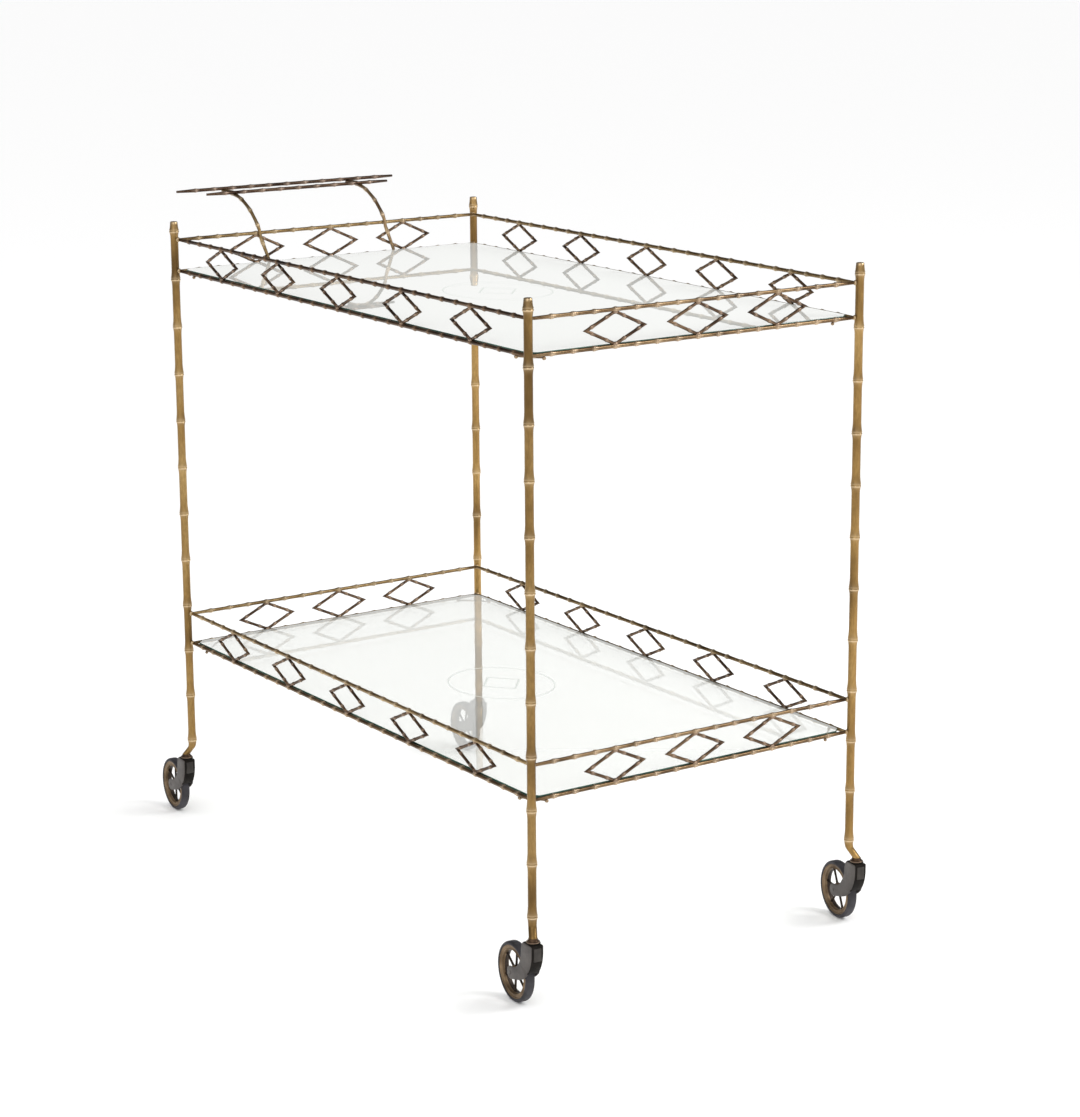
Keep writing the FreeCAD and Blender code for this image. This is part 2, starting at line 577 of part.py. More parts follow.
def fork_body(name, place):
    """A fork pressed from sheet: crown plate, two curved cheeks and a web across the front bend."""
    body = new_body(name)
    front, shoulder, plate = size("fork_front"), fork_top - size("fork_shoulder"), size("fork_plate")
    hub = Vector(-size("trail"), size("wheel_diameter") / 2, 0)
    brow = Vector(front - size("fork_bend_radius"), shoulder, 0)
    brow_front = Vector(front, shoulder, 0)
    inner = hub + Vector(0, size("fork_end_radius") + size("fork_inner_radius"), 0)
    inner_end = inner + Vector(size("fork_inner_radius"), 0, 0)
    hub_top = hub + Vector(0, size("fork_end_radius"), 0)
    on_brow, on_end = tangent_line(brow, size("fork_bend_radius"), hub, size("fork_end_radius"))
    rear_step = Vector(inner_end.x, (shoulder + inner_end.y) / 2 + size("fork_rear_rise"), 0)
    crown_rear, crown_front = Vector(-size("fork_crown_length"), fork_top, 0), Vector(front, fork_top, 0)

    cheeks = plane_sketch(body, "XZ_Plane", f"{name}_cheek_outline")
    rear_bend = bend(inner, size("fork_inner_radius"), inner_end, hub_top, count("fork_inner_count"))
    polygon(cheeks, [crown_rear, crown_front]
            + bend(brow, size("fork_bend_radius"), brow_front, on_brow, count("fork_bend_count"))
            + bend(hub, size("fork_end_radius"), on_end, hub_top, count("fork_end_count"))
            + rear_bend[-2::-1] + [rear_step])
    pad(body, cheeks, f"{FORK_SPACE} + 2 * fork_plate", True, f"{name}_blank")

    under_crown, web_low = fork_top - size("fork_crown_plate"), shoulder - size("web_length")
    clear = 2 * size("fork_end_radius")
    inside_radius = size("fork_bend_radius") - plate
    web_foot = Vector(brow.x + math.sqrt(inside_radius ** 2 - (shoulder - web_low) ** 2), web_low, 0)
    inside_front = Vector(front - plate, shoulder, 0)
    space = plane_sketch(body, "XZ_Plane", f"{name}_space_outline")
    polygon(space, [Vector(hub.x - clear, under_crown, 0), Vector(front - plate, under_crown, 0)]
            + bend(brow, inside_radius, inside_front, web_foot, count("fork_bend_count"))
            + [Vector(front + plate, web_low, 0), Vector(front + plate, hub.y - clear, 0),
               Vector(hub.x - clear, hub.y - clear, 0)])
    pocket(body, space, FORK_SPACE, True, f"{name}_space")

    bore = plane_sketch(body, "XZ_Plane", f"{name}_axle_outline")
    polygon(bore, ring_points(hub, Vector(1, 0, 0), Vector(0, 1, 0), size("axle_radius"), count("fit_sides")))
    pocket(body, bore, f"{FORK_SPACE} + 2 * fork_plate + {CUT_ALLOWANCE}", True, f"{name}_axle_holes")

    pin_outline = plane_sketch(body, "XY_Plane", f"{name}_pin_outline")
    polygon(pin_outline, ring_points(Vector(), Vector(1, 0, 0), Vector(0, 1, 0),
                                     (size("pin_radius") + size("running_gap")) / fit_flat, count("fit_sides")))
    pin_hole = pocket(body, pin_outline, f"wheel_diameter + fork_headroom + {CUT_ALLOWANCE}", False,
                      f"{name}_pin_hole")
    pin_hole.Reversed = True
    body.Placement = place
    return body


wheels = {"caster_axle": axle_shape(), "wheel_tyre": tyre_shape()}
for corner in CORNERS:
    place = caster_place(corner)
    fork_body(f"caster_fork_{corner}", place)
    rim_piece(f"wheel_rim_{corner}", place)
    for kind, shape in wheels.items():
        feature(f"{kind}_{corner}", shape.copy()).Placement = place.multiply(wheel_place)

feature("leg_ferrules", Part.makeCompound(
    [ferrule_shape(caster_place(corner), posts[corner].Shape) for corner in CORNERS]))
feature("swivel_pins", Part.makeCompound([pin_shape(caster_place(corner)) for corner in CORNERS]))

# ---------------------------------------------------------------- check and export
doc.recompute()

nodes = (
    [f"post_{c}" for c in CORNERS]
    + [f"{t}_{kind}_{s}" for t in tier_heights for kind in ("shelf_rail", "gallery_rail", "lozenges") for s in SIDES]
    + [f"{t}_{kind}" for t in tier_heights for kind in ("glass_shelf", "corner_braces")]
    + ["handle_arm_right", "handle_arm_left", "handle_outer_rod", "handle_inner_rod", "leg_ferrules",
       "swivel_pins"]
    + [f"{kind}_{c}" for c in CORNERS
       for kind in ("caster_fork", "caster_axle", "wheel_rim", "wheel_tyre")]
)

for item in doc.Objects:
    if "Invalid" in item.State or "Error" in item.State:
        raise RuntimeError(f"{item.Name} failed: {item.State}")
pieces = {}
for node in nodes:
    piece = doc.getObjectsByLabel(node)[0]
    if piece.Shape.isNull() or not piece.Shape.isValid() or not piece.Shape.Solids:
        raise RuntimeError(f"{node} has no valid shape")
    pieces[node] = piece

os.makedirs("parts", exist_ok=True)
for node, piece in pieces.items():
    piece.Shape.exportStep(f"parts/{node}.step")
print(f"{len(pieces)} nodes, tray middle at x = {tray_middle:.2f}")
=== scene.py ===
# %% [markdown]
# # A dessert trolley in brass bamboo
# Two glass shelves hang between four thin posts. Every metal rod is cast to look like bamboo: it is slim
# between the nodes, flares towards each node and has a bright ring there, partly worn and partly a painted
# highlight. The CAD model gives the places and sizes, and this lesson gives each piece its real surface.
# The imported frame is loaded first, so that every piece can be put where the CAD says. It is in metres: X
# runs along the trolley to its front, Z points up, and the handle stands at the rear.

# %% Load the frame
import json
import math
import random

import bmesh
import bpy
from mathutils import Matrix, Vector


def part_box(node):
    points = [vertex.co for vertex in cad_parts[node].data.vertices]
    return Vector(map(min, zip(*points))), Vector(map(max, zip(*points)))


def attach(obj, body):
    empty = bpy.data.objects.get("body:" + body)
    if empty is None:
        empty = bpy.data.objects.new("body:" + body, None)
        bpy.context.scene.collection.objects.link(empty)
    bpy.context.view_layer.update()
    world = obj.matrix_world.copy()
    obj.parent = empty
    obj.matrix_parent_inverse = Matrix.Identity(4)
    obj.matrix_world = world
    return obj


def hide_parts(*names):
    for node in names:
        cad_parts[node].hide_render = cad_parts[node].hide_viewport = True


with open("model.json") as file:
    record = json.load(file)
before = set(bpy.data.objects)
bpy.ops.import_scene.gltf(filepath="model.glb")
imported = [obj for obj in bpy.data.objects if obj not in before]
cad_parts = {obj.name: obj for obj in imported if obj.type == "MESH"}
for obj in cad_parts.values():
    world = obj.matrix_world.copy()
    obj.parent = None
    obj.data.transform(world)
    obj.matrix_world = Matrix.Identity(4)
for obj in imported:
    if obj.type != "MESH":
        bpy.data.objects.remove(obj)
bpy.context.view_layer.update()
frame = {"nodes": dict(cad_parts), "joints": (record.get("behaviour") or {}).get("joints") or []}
CORNERS = {"front_right": (1, -1), "front_left": (1, 1), "rear_right": (-1, -1), "rear_left": (-1, 1)}
TIERS, SIDES = ("lower", "upper"), ("front", "rear", "left", "right")

# %% [markdown]
# ## Camera
# The photograph was taken from the front right corner, a little above the upper shelf, with a long lens.
# The camera could be placed by eye, but its place was solved from the corners of the two shelves,
# so it is written down here as a point, two angles and a small roll.

# %% Camera
CAMERA_AT = Vector((2.9919, -1.9282, 1.2612))
AZIMUTH, ELEVATION, ROLL = math.radians(56.07), math.radians(13.62), math.radians(-0.364)

back = Vector((math.sin(AZIMUTH) * math.cos(ELEVATION), -math.cos(AZIMUTH) * math.cos(ELEVATION),
               math.sin(ELEVATION)))
level = Vector((math.cos(AZIMUTH), math.sin(AZIMUTH), 0))
above = back.cross(level)
right = level * math.cos(ROLL) + above * math.sin(ROLL)
above = above * math.cos(ROLL) - level * math.sin(ROLL)

camera_data = bpy.data.cameras.new("photo_camera")
camera_data.sensor_width = 36
camera_data.lens = 94.02
camera_data.clip_end = 200
camera = bpy.data.objects.new("photo_camera", camera_data)
bpy.context.collection.objects.link(camera)
camera.matrix_world = Matrix((
    (right.x, above.x, back.x, CAMERA_AT.x),
    (right.y, above.y, back.y, CAMERA_AT.y),
    (right.z, above.z, back.z, CAMERA_AT.z),
    (0, 0, 0, 1)))
bpy.context.scene.camera = camera
print("camera", tuple(round(v, 3) for v in CAMERA_AT), "lens", camera_data.lens)

# %% [markdown]
# ## Materials
# All the metal is one brass, but it has aged differently: the posts are golden, the thin rods brown. Every
# raised ring is painted brighter, partly as rubbing by hands and cloths and partly as a painted highlight.
# Some rods also get a lighter or darker copy of the brass as painted light and shade. An image could be
# painted for the rings, but it would need an unwrapped mesh. Here a float attribute called wear_and_highlight,
# which each rod carries on its mesh, says how rubbed and how highlit a point is. The patina itself is two
# noises in Object coordinates, one broad for the colour and one fine for the specks, so that no two nodes look
# alike.

# %% A new material and its noise
def new_material(name):
    """A material with its node tree, the tree's links and the shader it starts with."""
    material = bpy.data.materials.new(name)
    material.use_nodes = True
    nodes, links = material.node_tree.nodes, material.node_tree.links
    return material, nodes, links, nodes["Principled BSDF"]


def noise(nodes, links, scale, detail, stretch=(1, 1, 1)):
    """A noise pattern fixed to the object, finer as the scale grows."""
    place = nodes.new("ShaderNodeTexCoord")
    turn = nodes.new("ShaderNodeMapping")
    turn.inputs["Scale"].default_value = stretch
    pattern = nodes.new("ShaderNodeTexNoise")
    pattern.inputs["Scale"].default_value = scale
    pattern.inputs["Detail"].default_value = detail
    links.new(place.outputs["Object"], turn.inputs["Vector"])
    links.new(turn.outputs["Vector"], pattern.inputs["Vector"])
    return pattern.outputs["Fac"]


# %% Colours and values
def ramp(nodes, links, value, stops):
    """Colours laid along a value from 0 to 1."""
    made = nodes.new("ShaderNodeValToRGB")
    band = made.color_ramp
    while len(band.elements) < len(stops):
        band.elements.new(0.5)
    for element, (place, colour) in zip(band.elements, stops):
        element.position = place
        element.color = (*colour, 1)
    links.new(value, made.inputs["Fac"])
    return made.outputs["Color"]


def mix(nodes, links, share, a, b):
    """Colour a where share is 0 and colour b where it is 1."""
    made = nodes.new("ShaderNodeMix")
    made.data_type = "RGBA"
    for socket, value in ((made.inputs["Factor"], share), (made.inputs["A"], a), (made.inputs["B"], b)):
        if isinstance(value, bpy.types.NodeSocket):
            links.new(value, socket)
        else:
            socket.default_value = (*value, 1) if isinstance(value, tuple) else value
    return made.outputs["Result"]


def spread(nodes, links, value, low, high):
    """A value from 0 to 1 moved to run from low to high."""
    made = nodes.new("ShaderNodeMapRange")
    made.inputs["To Min"].default_value = low
    made.inputs["To Max"].default_value = high
    links.new(value, made.inputs["Value"])
    return made.outputs["Result"]


def calc(nodes, links, operation, first, second):
    """Two values put through one operation; the second may be a plain number."""
    made = nodes.new("ShaderNodeMath")
    made.operation = operation
    links.new(first, made.inputs[0])
    if isinstance(second, bpy.types.NodeSocket):
        links.new(second, made.inputs[1])
    else:
        made.inputs[1].default_value = second
    return made.outputs["Value"]


def bump(nodes, links, height, distance, shader):
    """Makes a shader look uneven, with hollows about as deep as the distance."""
    made = nodes.new("ShaderNodeBump")
    made.inputs["Strength"].default_value = 0.5
    made.inputs["Distance"].default_value = distance
    links.new(height, made.inputs["Height"])
    links.new(made.outputs["Normal"], shader.inputs["Normal"])


# %% Aged brass
CLOUD_SCALE, SPECK_SCALE, SPECK_DEPTH = 26, 420, 0.0002
BRASS_METALLIC = 0.85


def aged_brass(name, dark, body, light, rubbed_and_highlight, stretch=(1, 1, 1)):
    """Brass with a mottled patina that turns to the rubbed colour where the wear_and_highlight attribute is
    high: real rubbing and a painted highlight.
    """
    material, nodes, links, shader = new_material(name)
    broad = noise(nodes, links, CLOUD_SCALE, 3, stretch)
    fine = noise(nodes, links, SPECK_SCALE, 4, stretch)
    patina = ramp(nodes, links, broad, [(0.30, dark), (0.50, body), (0.72, light)])
    speckled = mix(nodes, links, spread(nodes, links, fine, -0.35, 0.75), patina, dark)
    # The rubbed colour comes in where the wear_and_highlight attribute is high: rubbed brass on the rings,
    # with a painted highlight on them
    wear_and_highlight = nodes.new("ShaderNodeAttribute")
    wear_and_highlight.attribute_name = "wear_and_highlight"
    bright = calc(nodes, links, "MULTIPLY", wear_and_highlight.outputs["Fac"], spread(nodes, links, fine, 0.55, 1.15))
    links.new(mix(nodes, links, bright, speckled, rubbed_and_highlight), shader.inputs["Base Color"])
    links.new(spread(nodes, links, broad, 0.22, 0.42), shader.inputs["Roughness"])
    shader.inputs["Metallic"].default_value = BRASS_METALLIC
    bump(nodes, links, fine, SPECK_DEPTH, shader)
    return material


# %% The brass of the posts
POST_COLOURS = ((0.14, 0.078, 0.024), (0.35, 0.210, 0.068), (0.50, 0.33, 0.13))
# POST_RUBBED_AND_HIGHLIGHT is the colour of the rubbed rings with their painted highlight
POST_RUBBED_AND_HIGHLIGHT, ALONG_POST = (0.78, 0.60, 0.38), (1, 1, 0.35)
POST_TONES = {"front_right": 0.78, "front_left": 1.08, "rear_right": 0.92, "rear_left": 1.22}


def post_finish(corner, tone):
    """The brass of one post, its colours scaled by the post's own tone."""
    dark, body, light = (tuple(part * tone for part in colour) for colour in POST_COLOURS)
    return aged_brass(f"post_brass_{corner}", dark, body, light, POST_RUBBED_AND_HIGHLIGHT, ALONG_POST)


post_brass = {corner: post_finish(corner, tone) for corner, tone in POST_TONES.items()}
print("post finishes:", len(post_brass))

# %% The brass of the thin rods
# The colours are dark, body, light, and rubbed with its painted highlight
rail_brass = aged_brass("rail_brass", (0.065, 0.037, 0.018), (0.22, 0.137, 0.068), (0.38, 0.26, 0.14),
                        (0.85, 0.66, 0.46))
grip_brass = aged_brass("grip_brass", (0.028, 0.015, 0.009), (0.085, 0.049, 0.030), (0.17, 0.108, 0.068),
                        (0.62, 0.47, 0.37))
# lit_rail_brass and pale_lit_rail_brass are lighter copies of the rail brass: painted light for rods that face
# the light
lit_rail_brass = aged_brass("lit_rail_brass", (0.085, 0.052, 0.022), (0.24, 0.155, 0.065), (0.40, 0.28, 0.135),
                         (0.76, 0.60, 0.40))
pale_lit_rail_brass = aged_brass("pale_lit_rail_brass", (0.13, 0.082, 0.038), (0.37, 0.245, 0.11), (0.56, 0.40, 0.20),
                       (0.82, 0.66, 0.45))
# shaded_rail_brass is a darker copy of the rail brass: painted shade for rods that mirror the dark side
shaded_rail_brass = aged_brass("shaded_rail_brass", (0.034, 0.019, 0.012), (0.115, 0.067, 0.038), (0.22, 0.135, 0.075),
                       (0.42, 0.28, 0.18))
lozenge_brass = aged_brass("lozenge_brass", (0.040, 0.023, 0.014), (0.125, 0.074, 0.043),
                           (0.24, 0.155, 0.09), (0.55, 0.40, 0.29))
print("materials so far:", len(bpy.data.materials))

# %% [markdown]
# ## Glass
# Clear plate glass seen at a low angle shows two things: what lies behind it and a faint mirror image.
# A fully refracting material could do that, but it throws a dark shadow without caustics. A clear
# shader that gives way to a sharp gloss as the surface turns edge on gives the same look and lets the light
# through. Old glass also carries a fine haze that grows at a low angle and washes out what stands behind it,
# like the far castor. One face of each plate has the haze, and with it a plain etched oval with a small
# lozenge in it; the other face only mirrors.
# The polished edges are a third material, since light travels far inside the plate and turns green. Seen
# from inside the plate, a far edge glows pale with the light of the room.

# %% Shaders to blend
def plain_shader(nodes, kind, colour, roughness=None):
    """A one-colour shader, such as Transparent, Diffuse or Glossy."""
    made = nodes.new(f"ShaderNodeBsdf{kind}")
    made.inputs["Color"].default_value = (*colour, 1)
    if roughness is not None:
        made.inputs["Roughness"].default_value = roughness
    return made.outputs["BSDF"]


def blend(nodes, links, share, first, second):
    """The first shader where share is 0 and the second where it is 1."""
    made = nodes.new("ShaderNodeMixShader")
    links.new(share, made.inputs["Fac"])
    links.new(first, made.inputs[1])
    links.new(second, made.inputs[2])
    return made.outputs["Shader"]


# %% The etched oval
OVAL_CENTRE, OVAL_HALF_LENGTH, OVAL_HALF_WIDTH = 0.03675, 0.0755, 0.064


def vector_math(nodes, links, operation, value, second=None):
    """A vector put through one operation, with a second vector where the operation needs it."""
    made = nodes.new("ShaderNodeVectorMath")
    made.operation = operation
    links.new(value, made.inputs[0])
    if second:
        made.inputs[1].default_value = second
    return made.outputs["Value" if operation in ("LENGTH", "DOT_PRODUCT") else "Vector"]


def etched_oval(nodes, links, share):
    """The share on a thin oval line and on a small lozenge in it, 0 elsewhere.

    The plate is scaled until the oval is a circle of radius 0.5. The distance from its centre then draws
    the oval, and the sum of the two sides draws the lozenge.
    """
    place = nodes.new("ShaderNodeTexCoord")
    scale = (0.5 / OVAL_HALF_LENGTH, 0.5 / OVAL_HALF_WIDTH, 0)
    centred = vector_math(nodes, links, "SUBTRACT", place.outputs["Object"], (OVAL_CENTRE, 0, 0))
    scaled = vector_math(nodes, links, "MULTIPLY", centred, scale)
    distance = vector_math(nodes, links, "LENGTH", scaled)
    positive = vector_math(nodes, links, "ABSOLUTE", scaled)
    sides = vector_math(nodes, links, "DOT_PRODUCT", positive, (1, 1, 0))
    clear, line = (0, 0, 0), (share, share, share)
    oval = ramp(nodes, links, distance, [(0.487, clear), (0.491, line), (0.500, line), (0.504, clear)])
    lozenge_line = ramp(nodes, links, sides, [(0.19, clear), (0.20, line), (0.215, line), (0.225, clear)])
    return calc(nodes, links, "MAXIMUM", oval, lozenge_line)


# %% The faces of a plate
CLEAR_GLASS, HAZE, ETCHED_LINE = (0.962, 0.968, 0.957), (0.69, 0.702, 0.675), (0.60, 0.63, 0.60)
HAZE_SHARES, MIRROR_SHARES = (0.0, 2.3), (0.03, 0.92)   # from seen straight on to seen edge on
LOW_ANGLE_POWER = 5


def plate_glass(name, etched_share=0):
    """Glass that mirrors more at a low angle; with an etched share it has haze and the etched lines too."""
    material, nodes, links, shader = new_material(name)
    nodes.remove(shader)
    slant = nodes.new("ShaderNodeLayerWeight")
    slant.inputs["Blend"].default_value = 0.5
    low_angle = calc(nodes, links, "POWER", slant.outputs["Facing"], LOW_ANGLE_POWER)
    surface = plain_shader(nodes, "Transparent", CLEAR_GLASS)
    if etched_share:
        haze = plain_shader(nodes, "Diffuse", HAZE)
        surface = blend(nodes, links, spread(nodes, links, low_angle, *HAZE_SHARES), surface, haze)
    mirror = plain_shader(nodes, "Glossy", (1, 1, 1), roughness=0.0)
    surface = blend(nodes, links, spread(nodes, links, low_angle, *MIRROR_SHARES), surface, mirror)
    if etched_share:
        etched = plain_shader(nodes, "Diffuse", ETCHED_LINE)
        surface = blend(nodes, links, etched_oval(nodes, links, etched_share), surface, etched)
    links.new(surface, nodes["Material Output"].inputs["Surface"])
    return material


shelf_glass, etched_glass = plate_glass("shelf_glass"), plate_glass("etched_glass", 0.9)
print("glass:", shelf_glass.name, etched_glass.name)

# %% The edge of a plate
EDGE_GREENS = [(0.3, (0.026, 0.066, 0.052)), (0.6, (0.080, 0.160, 0.125)), (0.8, (0.22, 0.35, 0.29))]
EDGE_FROM_INSIDE = (0.965, 0.978, 0.970)


def edge_glass():
    """Polished green from outside, and clear and pale where it is seen from inside the plate."""
    material, nodes, links, shader = new_material("glass_edge")
    links.new(ramp(nodes, links, noise(nodes, links, 14, 2), EDGE_GREENS), shader.inputs["Base Color"])
    shader.inputs["Roughness"].default_value = 0.08
    side = nodes.new("ShaderNodeNewGeometry")
    pale = plain_shader(nodes, "Transparent", EDGE_FROM_INSIDE)
    surface = blend(nodes, links, side.outputs["Backfacing"], shader.outputs["BSDF"], pale)
    links.new(surface, nodes["Material Output"].inputs["Surface"])
    return material


glass_edge = edge_glass()
print("glass edge:", glass_edge.name)

# %% [markdown]
# ## Castor materials
# The tyres are black rubber with a dusty matt surface, the rims a dull bronze, and the forks and their
# rivets are dark grey steel. The spokes and the inner lip of the rim get a near-black bronze as painted shade,
# the front and crown of each fork a near-black steel as painted shade, and a small plate on the front a
# lighter steel as a painted reflection. One flat colour would look like plastic here, and the worn and highlit
# rings of the brass aren't needed, so one plainer recipe makes them all: a cloudy colour between two tones and
# a finer grain in the gloss.

# %% Castor materials
def plain_finish(name, dark, light, scale, metallic, rough, distance=0.0002):
    """A mottled finish between two colours, with its roughness from low to high."""
    material, nodes, links, shader = new_material(name)
    cloud, grain = noise(nodes, links, scale, 4), noise(nodes, links, scale * 9, 3)
    links.new(ramp(nodes, links, cloud, [(0.32, dark), (0.7, light)]), shader.inputs["Base Color"])
    links.new(spread(nodes, links, grain, *rough), shader.inputs["Roughness"])
    shader.inputs["Metallic"].default_value = metallic
    bump(nodes, links, grain, distance, shader)
    return material


tyre_rubber = plain_finish("tyre_rubber", (0.010, 0.009, 0.011), (0.038, 0.034, 0.042), 60, 0.0,
                           (0.45, 0.75), 0.0003)
rim_bronze = plain_finish("rim_bronze", (0.11, 0.072, 0.040), (0.30, 0.21, 0.125), 70, 0.8, (0.35, 0.6))
# shaded_bronze is painted shade: a near-black bronze for the spokes and the rim's inner lip
shaded_bronze = plain_finish("shaded_bronze", (0.016, 0.011, 0.009), (0.055, 0.038, 0.026), 90, 0.7,
                            (0.35, 0.6))
fork_steel = plain_finish("fork_steel", (0.068, 0.060, 0.056), (0.118, 0.105, 0.097), 50, 0.55, (0.40, 0.6))
# fork_shade is painted shade: a near-black steel for the front and crown of each fork and for the washers
fork_shade = plain_finish("fork_shade", (0.006, 0.005, 0.004), (0.020, 0.016, 0.013), 50, 0.5, (0.45, 0.7))
fork_shade.node_tree.nodes["Principled BSDF"].inputs["Specular IOR Level"].default_value = 0.15
# painted_reflection_steel is a lighter steel for the small plate on each fork's front: a painted reflection
painted_reflection_steel = plain_finish("painted_reflection_steel", (0.030, 0.026, 0.023), (0.070, 0.062, 0.054), 50, 0.5,
                           (0.45, 0.7))
pin_steel = plain_finish("pin_steel", (0.07, 0.06, 0.05), (0.16, 0.14, 0.12), 90, 0.85, (0.3, 0.55), 0.0001)
print("materials in all:", len(bpy.data.materials))

# %% [markdown]
# ## Turning a bamboo rod
# A bamboo rod is a body of revolution, like something from a lathe. It could be a cylinder with loop cuts
# that are scaled one by one, but a spun profile is quicker and exact: half of the outline is drawn as a
# chain of edges in one plane, and the spin operator turns it through a full circle. Each outline point
# also carries a value for wear and painted highlight, and the spin copies it to every point of the ring it
# makes.

# %% The bamboo outline
# One node: distance from the ring along the rod, share of the swelling, wear with its painted highlight. The
# flare on one side is long, then come a sharp edge, a groove, the bright ring and a quick return on the other
# side.
NODE = [(-1.00, 0.06, 0.0), (-0.68, 0.22, 0.02), (-0.42, 0.45, 0.08), (-0.24, 0.70, 0.2), (-0.13, 0.90, 0.45),
        (-0.085, 0.92, 0.3), (-0.045, 0.62, 0.0), (-0.01, 0.66, 0.1), (0.025, 0.98, 0.85), (0.075, 1.0, 1.0),
        (0.125, 0.90, 0.7), (0.17, 0.62, 0.2), (0.28, 0.40, 0.1), (0.46, 0.17, 0.03), (0.70, 0.04, 0.0)]


def bamboo_outline(length, rings, waist, node, flare, ends, chance, towards=1, glow=0.5):
    """(distance, radius, wear and painted highlight) points of a rod whose nodes stand at the given distances.

    waist, node and ends are radii, and flare is the length of a flare. towards is -1 where the long
    flares point to the rod's end, and a small glow spreads the wear and painted highlight wider round each
    ring.
    """
    points = [(0, ends, 0.1), (min(0.35 * flare, rings[0] / 3), ends, 0.0)]
    for ring in rings:
        swell = (node - waist) * chance.uniform(0.88, 1.1)
        for along, share, wear_and_highlight in (NODE if towards > 0 else NODE[::-1]):
            place = ring + towards * along * flare
            if points[-1][0] + 1e-5 < place < length - 1e-5:
                points.append((place, waist + swell * share, wear_and_highlight ** glow * chance.uniform(0.75, 1.0)))
    points.append((length, ends, 0.1))
    return points


print("points in one node:", len(NODE))

# %% The spin
def full_spin(bm, outline, steps, doubles):
    """Turns an outline in the XZ plane about X into a closed skin whose faces point outwards."""
    bmesh.ops.spin(bm, geom=outline, cent=(0, 0, 0), axis=(1, 0, 0), dvec=(0, 0, 0),
                   angle=2 * math.pi, steps=steps, use_merge=True)
    bmesh.ops.remove_doubles(bm, verts=bm.verts, dist=doubles)
    bmesh.ops.recalc_face_normals(bm, faces=bm.faces)
    return bm


def spin_outline(points, steps):
    """A rod along X from (distance, radius, wear and painted highlight) points, closed at both ends."""
    bm = bmesh.new()
    wear_and_highlight = bm.verts.layers.float.new("wear_and_highlight")
    chain = [bm.verts.new((along, 0, radius)) for along, radius, _ in points]
    for vert, (_, _, wear_and_highlight_share) in zip(chain, points):
        vert[wear_and_highlight] = wear_and_highlight_share
    start, end = bm.verts.new((points[0][0], 0, 0)), bm.verts.new((points[-1][0], 0, 0))
    chain = [start] + chain + [end]
    edges = [bm.edges.new(pair) for pair in zip(chain, chain[1:])]
    return full_spin(bm, chain + edges, steps, 1e-6)


# %% Moving, rounding, joining and finishing a piece
def moved(bm, matrix):
    """The bmesh, carried along by a matrix."""
    bmesh.ops.transform(bm, matrix=matrix, verts=bm.verts)
    return bm


def laid(bm, start, heading):
    """Turns a rod that lies along X to a heading and moves its end to the start."""
    turn = Vector((1, 0, 0)).rotation_difference(heading).to_matrix().to_4x4()
    return moved(bm, Matrix.Translation(start) @ turn)


def rounded(bm, edges, width, segments):
    """Rounds edges off. A scripted bevel has other defaults than the editor's, so they are all given."""
    bmesh.ops.bevel(bm, geom=edges, offset=width, offset_type="OFFSET", segments=segments, profile=0.5,
                    affect="EDGES", material=-1)


def join(parts):
    """Several bmeshes as one."""
    whole = bmesh.new()
    for part in parts:
        mesh = bpy.data.meshes.new("part")
        part.to_mesh(mesh)
        whole.from_mesh(mesh)
        part.free()
        bpy.data.meshes.remove(mesh)
    return whole


def finish(bm, name, materials, body, nodes, smooth=True):
    """The bmesh becomes an object that rides on a body and stands for CAD nodes."""
    mesh = bpy.data.meshes.new(name)
    bm.to_mesh(mesh)
    bm.free()
    mesh.polygons.foreach_set("use_smooth", [smooth] * len(mesh.polygons))
    for material in materials:
        mesh.materials.append(material)
    piece = bpy.data.objects.new(name, mesh)
    bpy.context.collection.objects.link(piece)
    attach(piece, body)
    if nodes:
        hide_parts(*nodes)
    return piece


# %% [markdown]
# ## Posts
# A post is a thicker rod with a node every 62 mm. Above its highest ring it tapers to a flat crown, and
# just above the castor it kicks outward. A curve with the kick in it could be given a round bevel, but then
# the nodes would be lost. So the straight rod is spun first and stood upright, and then the rings of its
# foot are moved outward by a growing share, as a brazier would bend the real one. A small bead of braze is
# added where the rails meet each post.

# %% Post sizes
TRAY_LENGTH, TRAY_WIDTH = 0.8085, 0.4481
POST_PITCH, POST_WAIST, POST_NODE, POST_FLARE, POST_STEPS = 0.06195, 0.0049, 0.0062, 0.013, 28
CROWN_RADIUS, CROWN_RING, CROWN_LENGTH = 0.0040, 0.0123, 0.0100
CROWN = [(0, CROWN_RADIUS, 0.4), (0.0004, 0.0046, 0.7), (0.004, 0.0050, 0.1), (0.0085, 0.00545, 0.1)]
KICK_TOP, KICK_END, KICK_RING_PITCH, KICK_RINGS = 0.103, 0.088, 0.0012, 13
KICK = Vector((0.0086, 0.005, 0))
FOOT_RADIUS, FREE_OF_KICK = 0.0037, 0.004
JOINT_BEAD = [(0, 0.0016, 0.6), (0.0008, 0.0027, 0.7), (0.0022, 0.0033, 0.8), (0.0038, 0.0033, 0.8),
              (0.0052, 0.0027, 0.7), (0.0060, 0.0016, 0.6)]
BEAD_OUTWARD, BEAD_HALF = 0.0012, 0.0030
brace_low, brace_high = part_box("upper_corner_braces")
tray_middle = (brace_low[0] + brace_high[0]) / 2
print("middle of the tray:", round(tray_middle, 4))

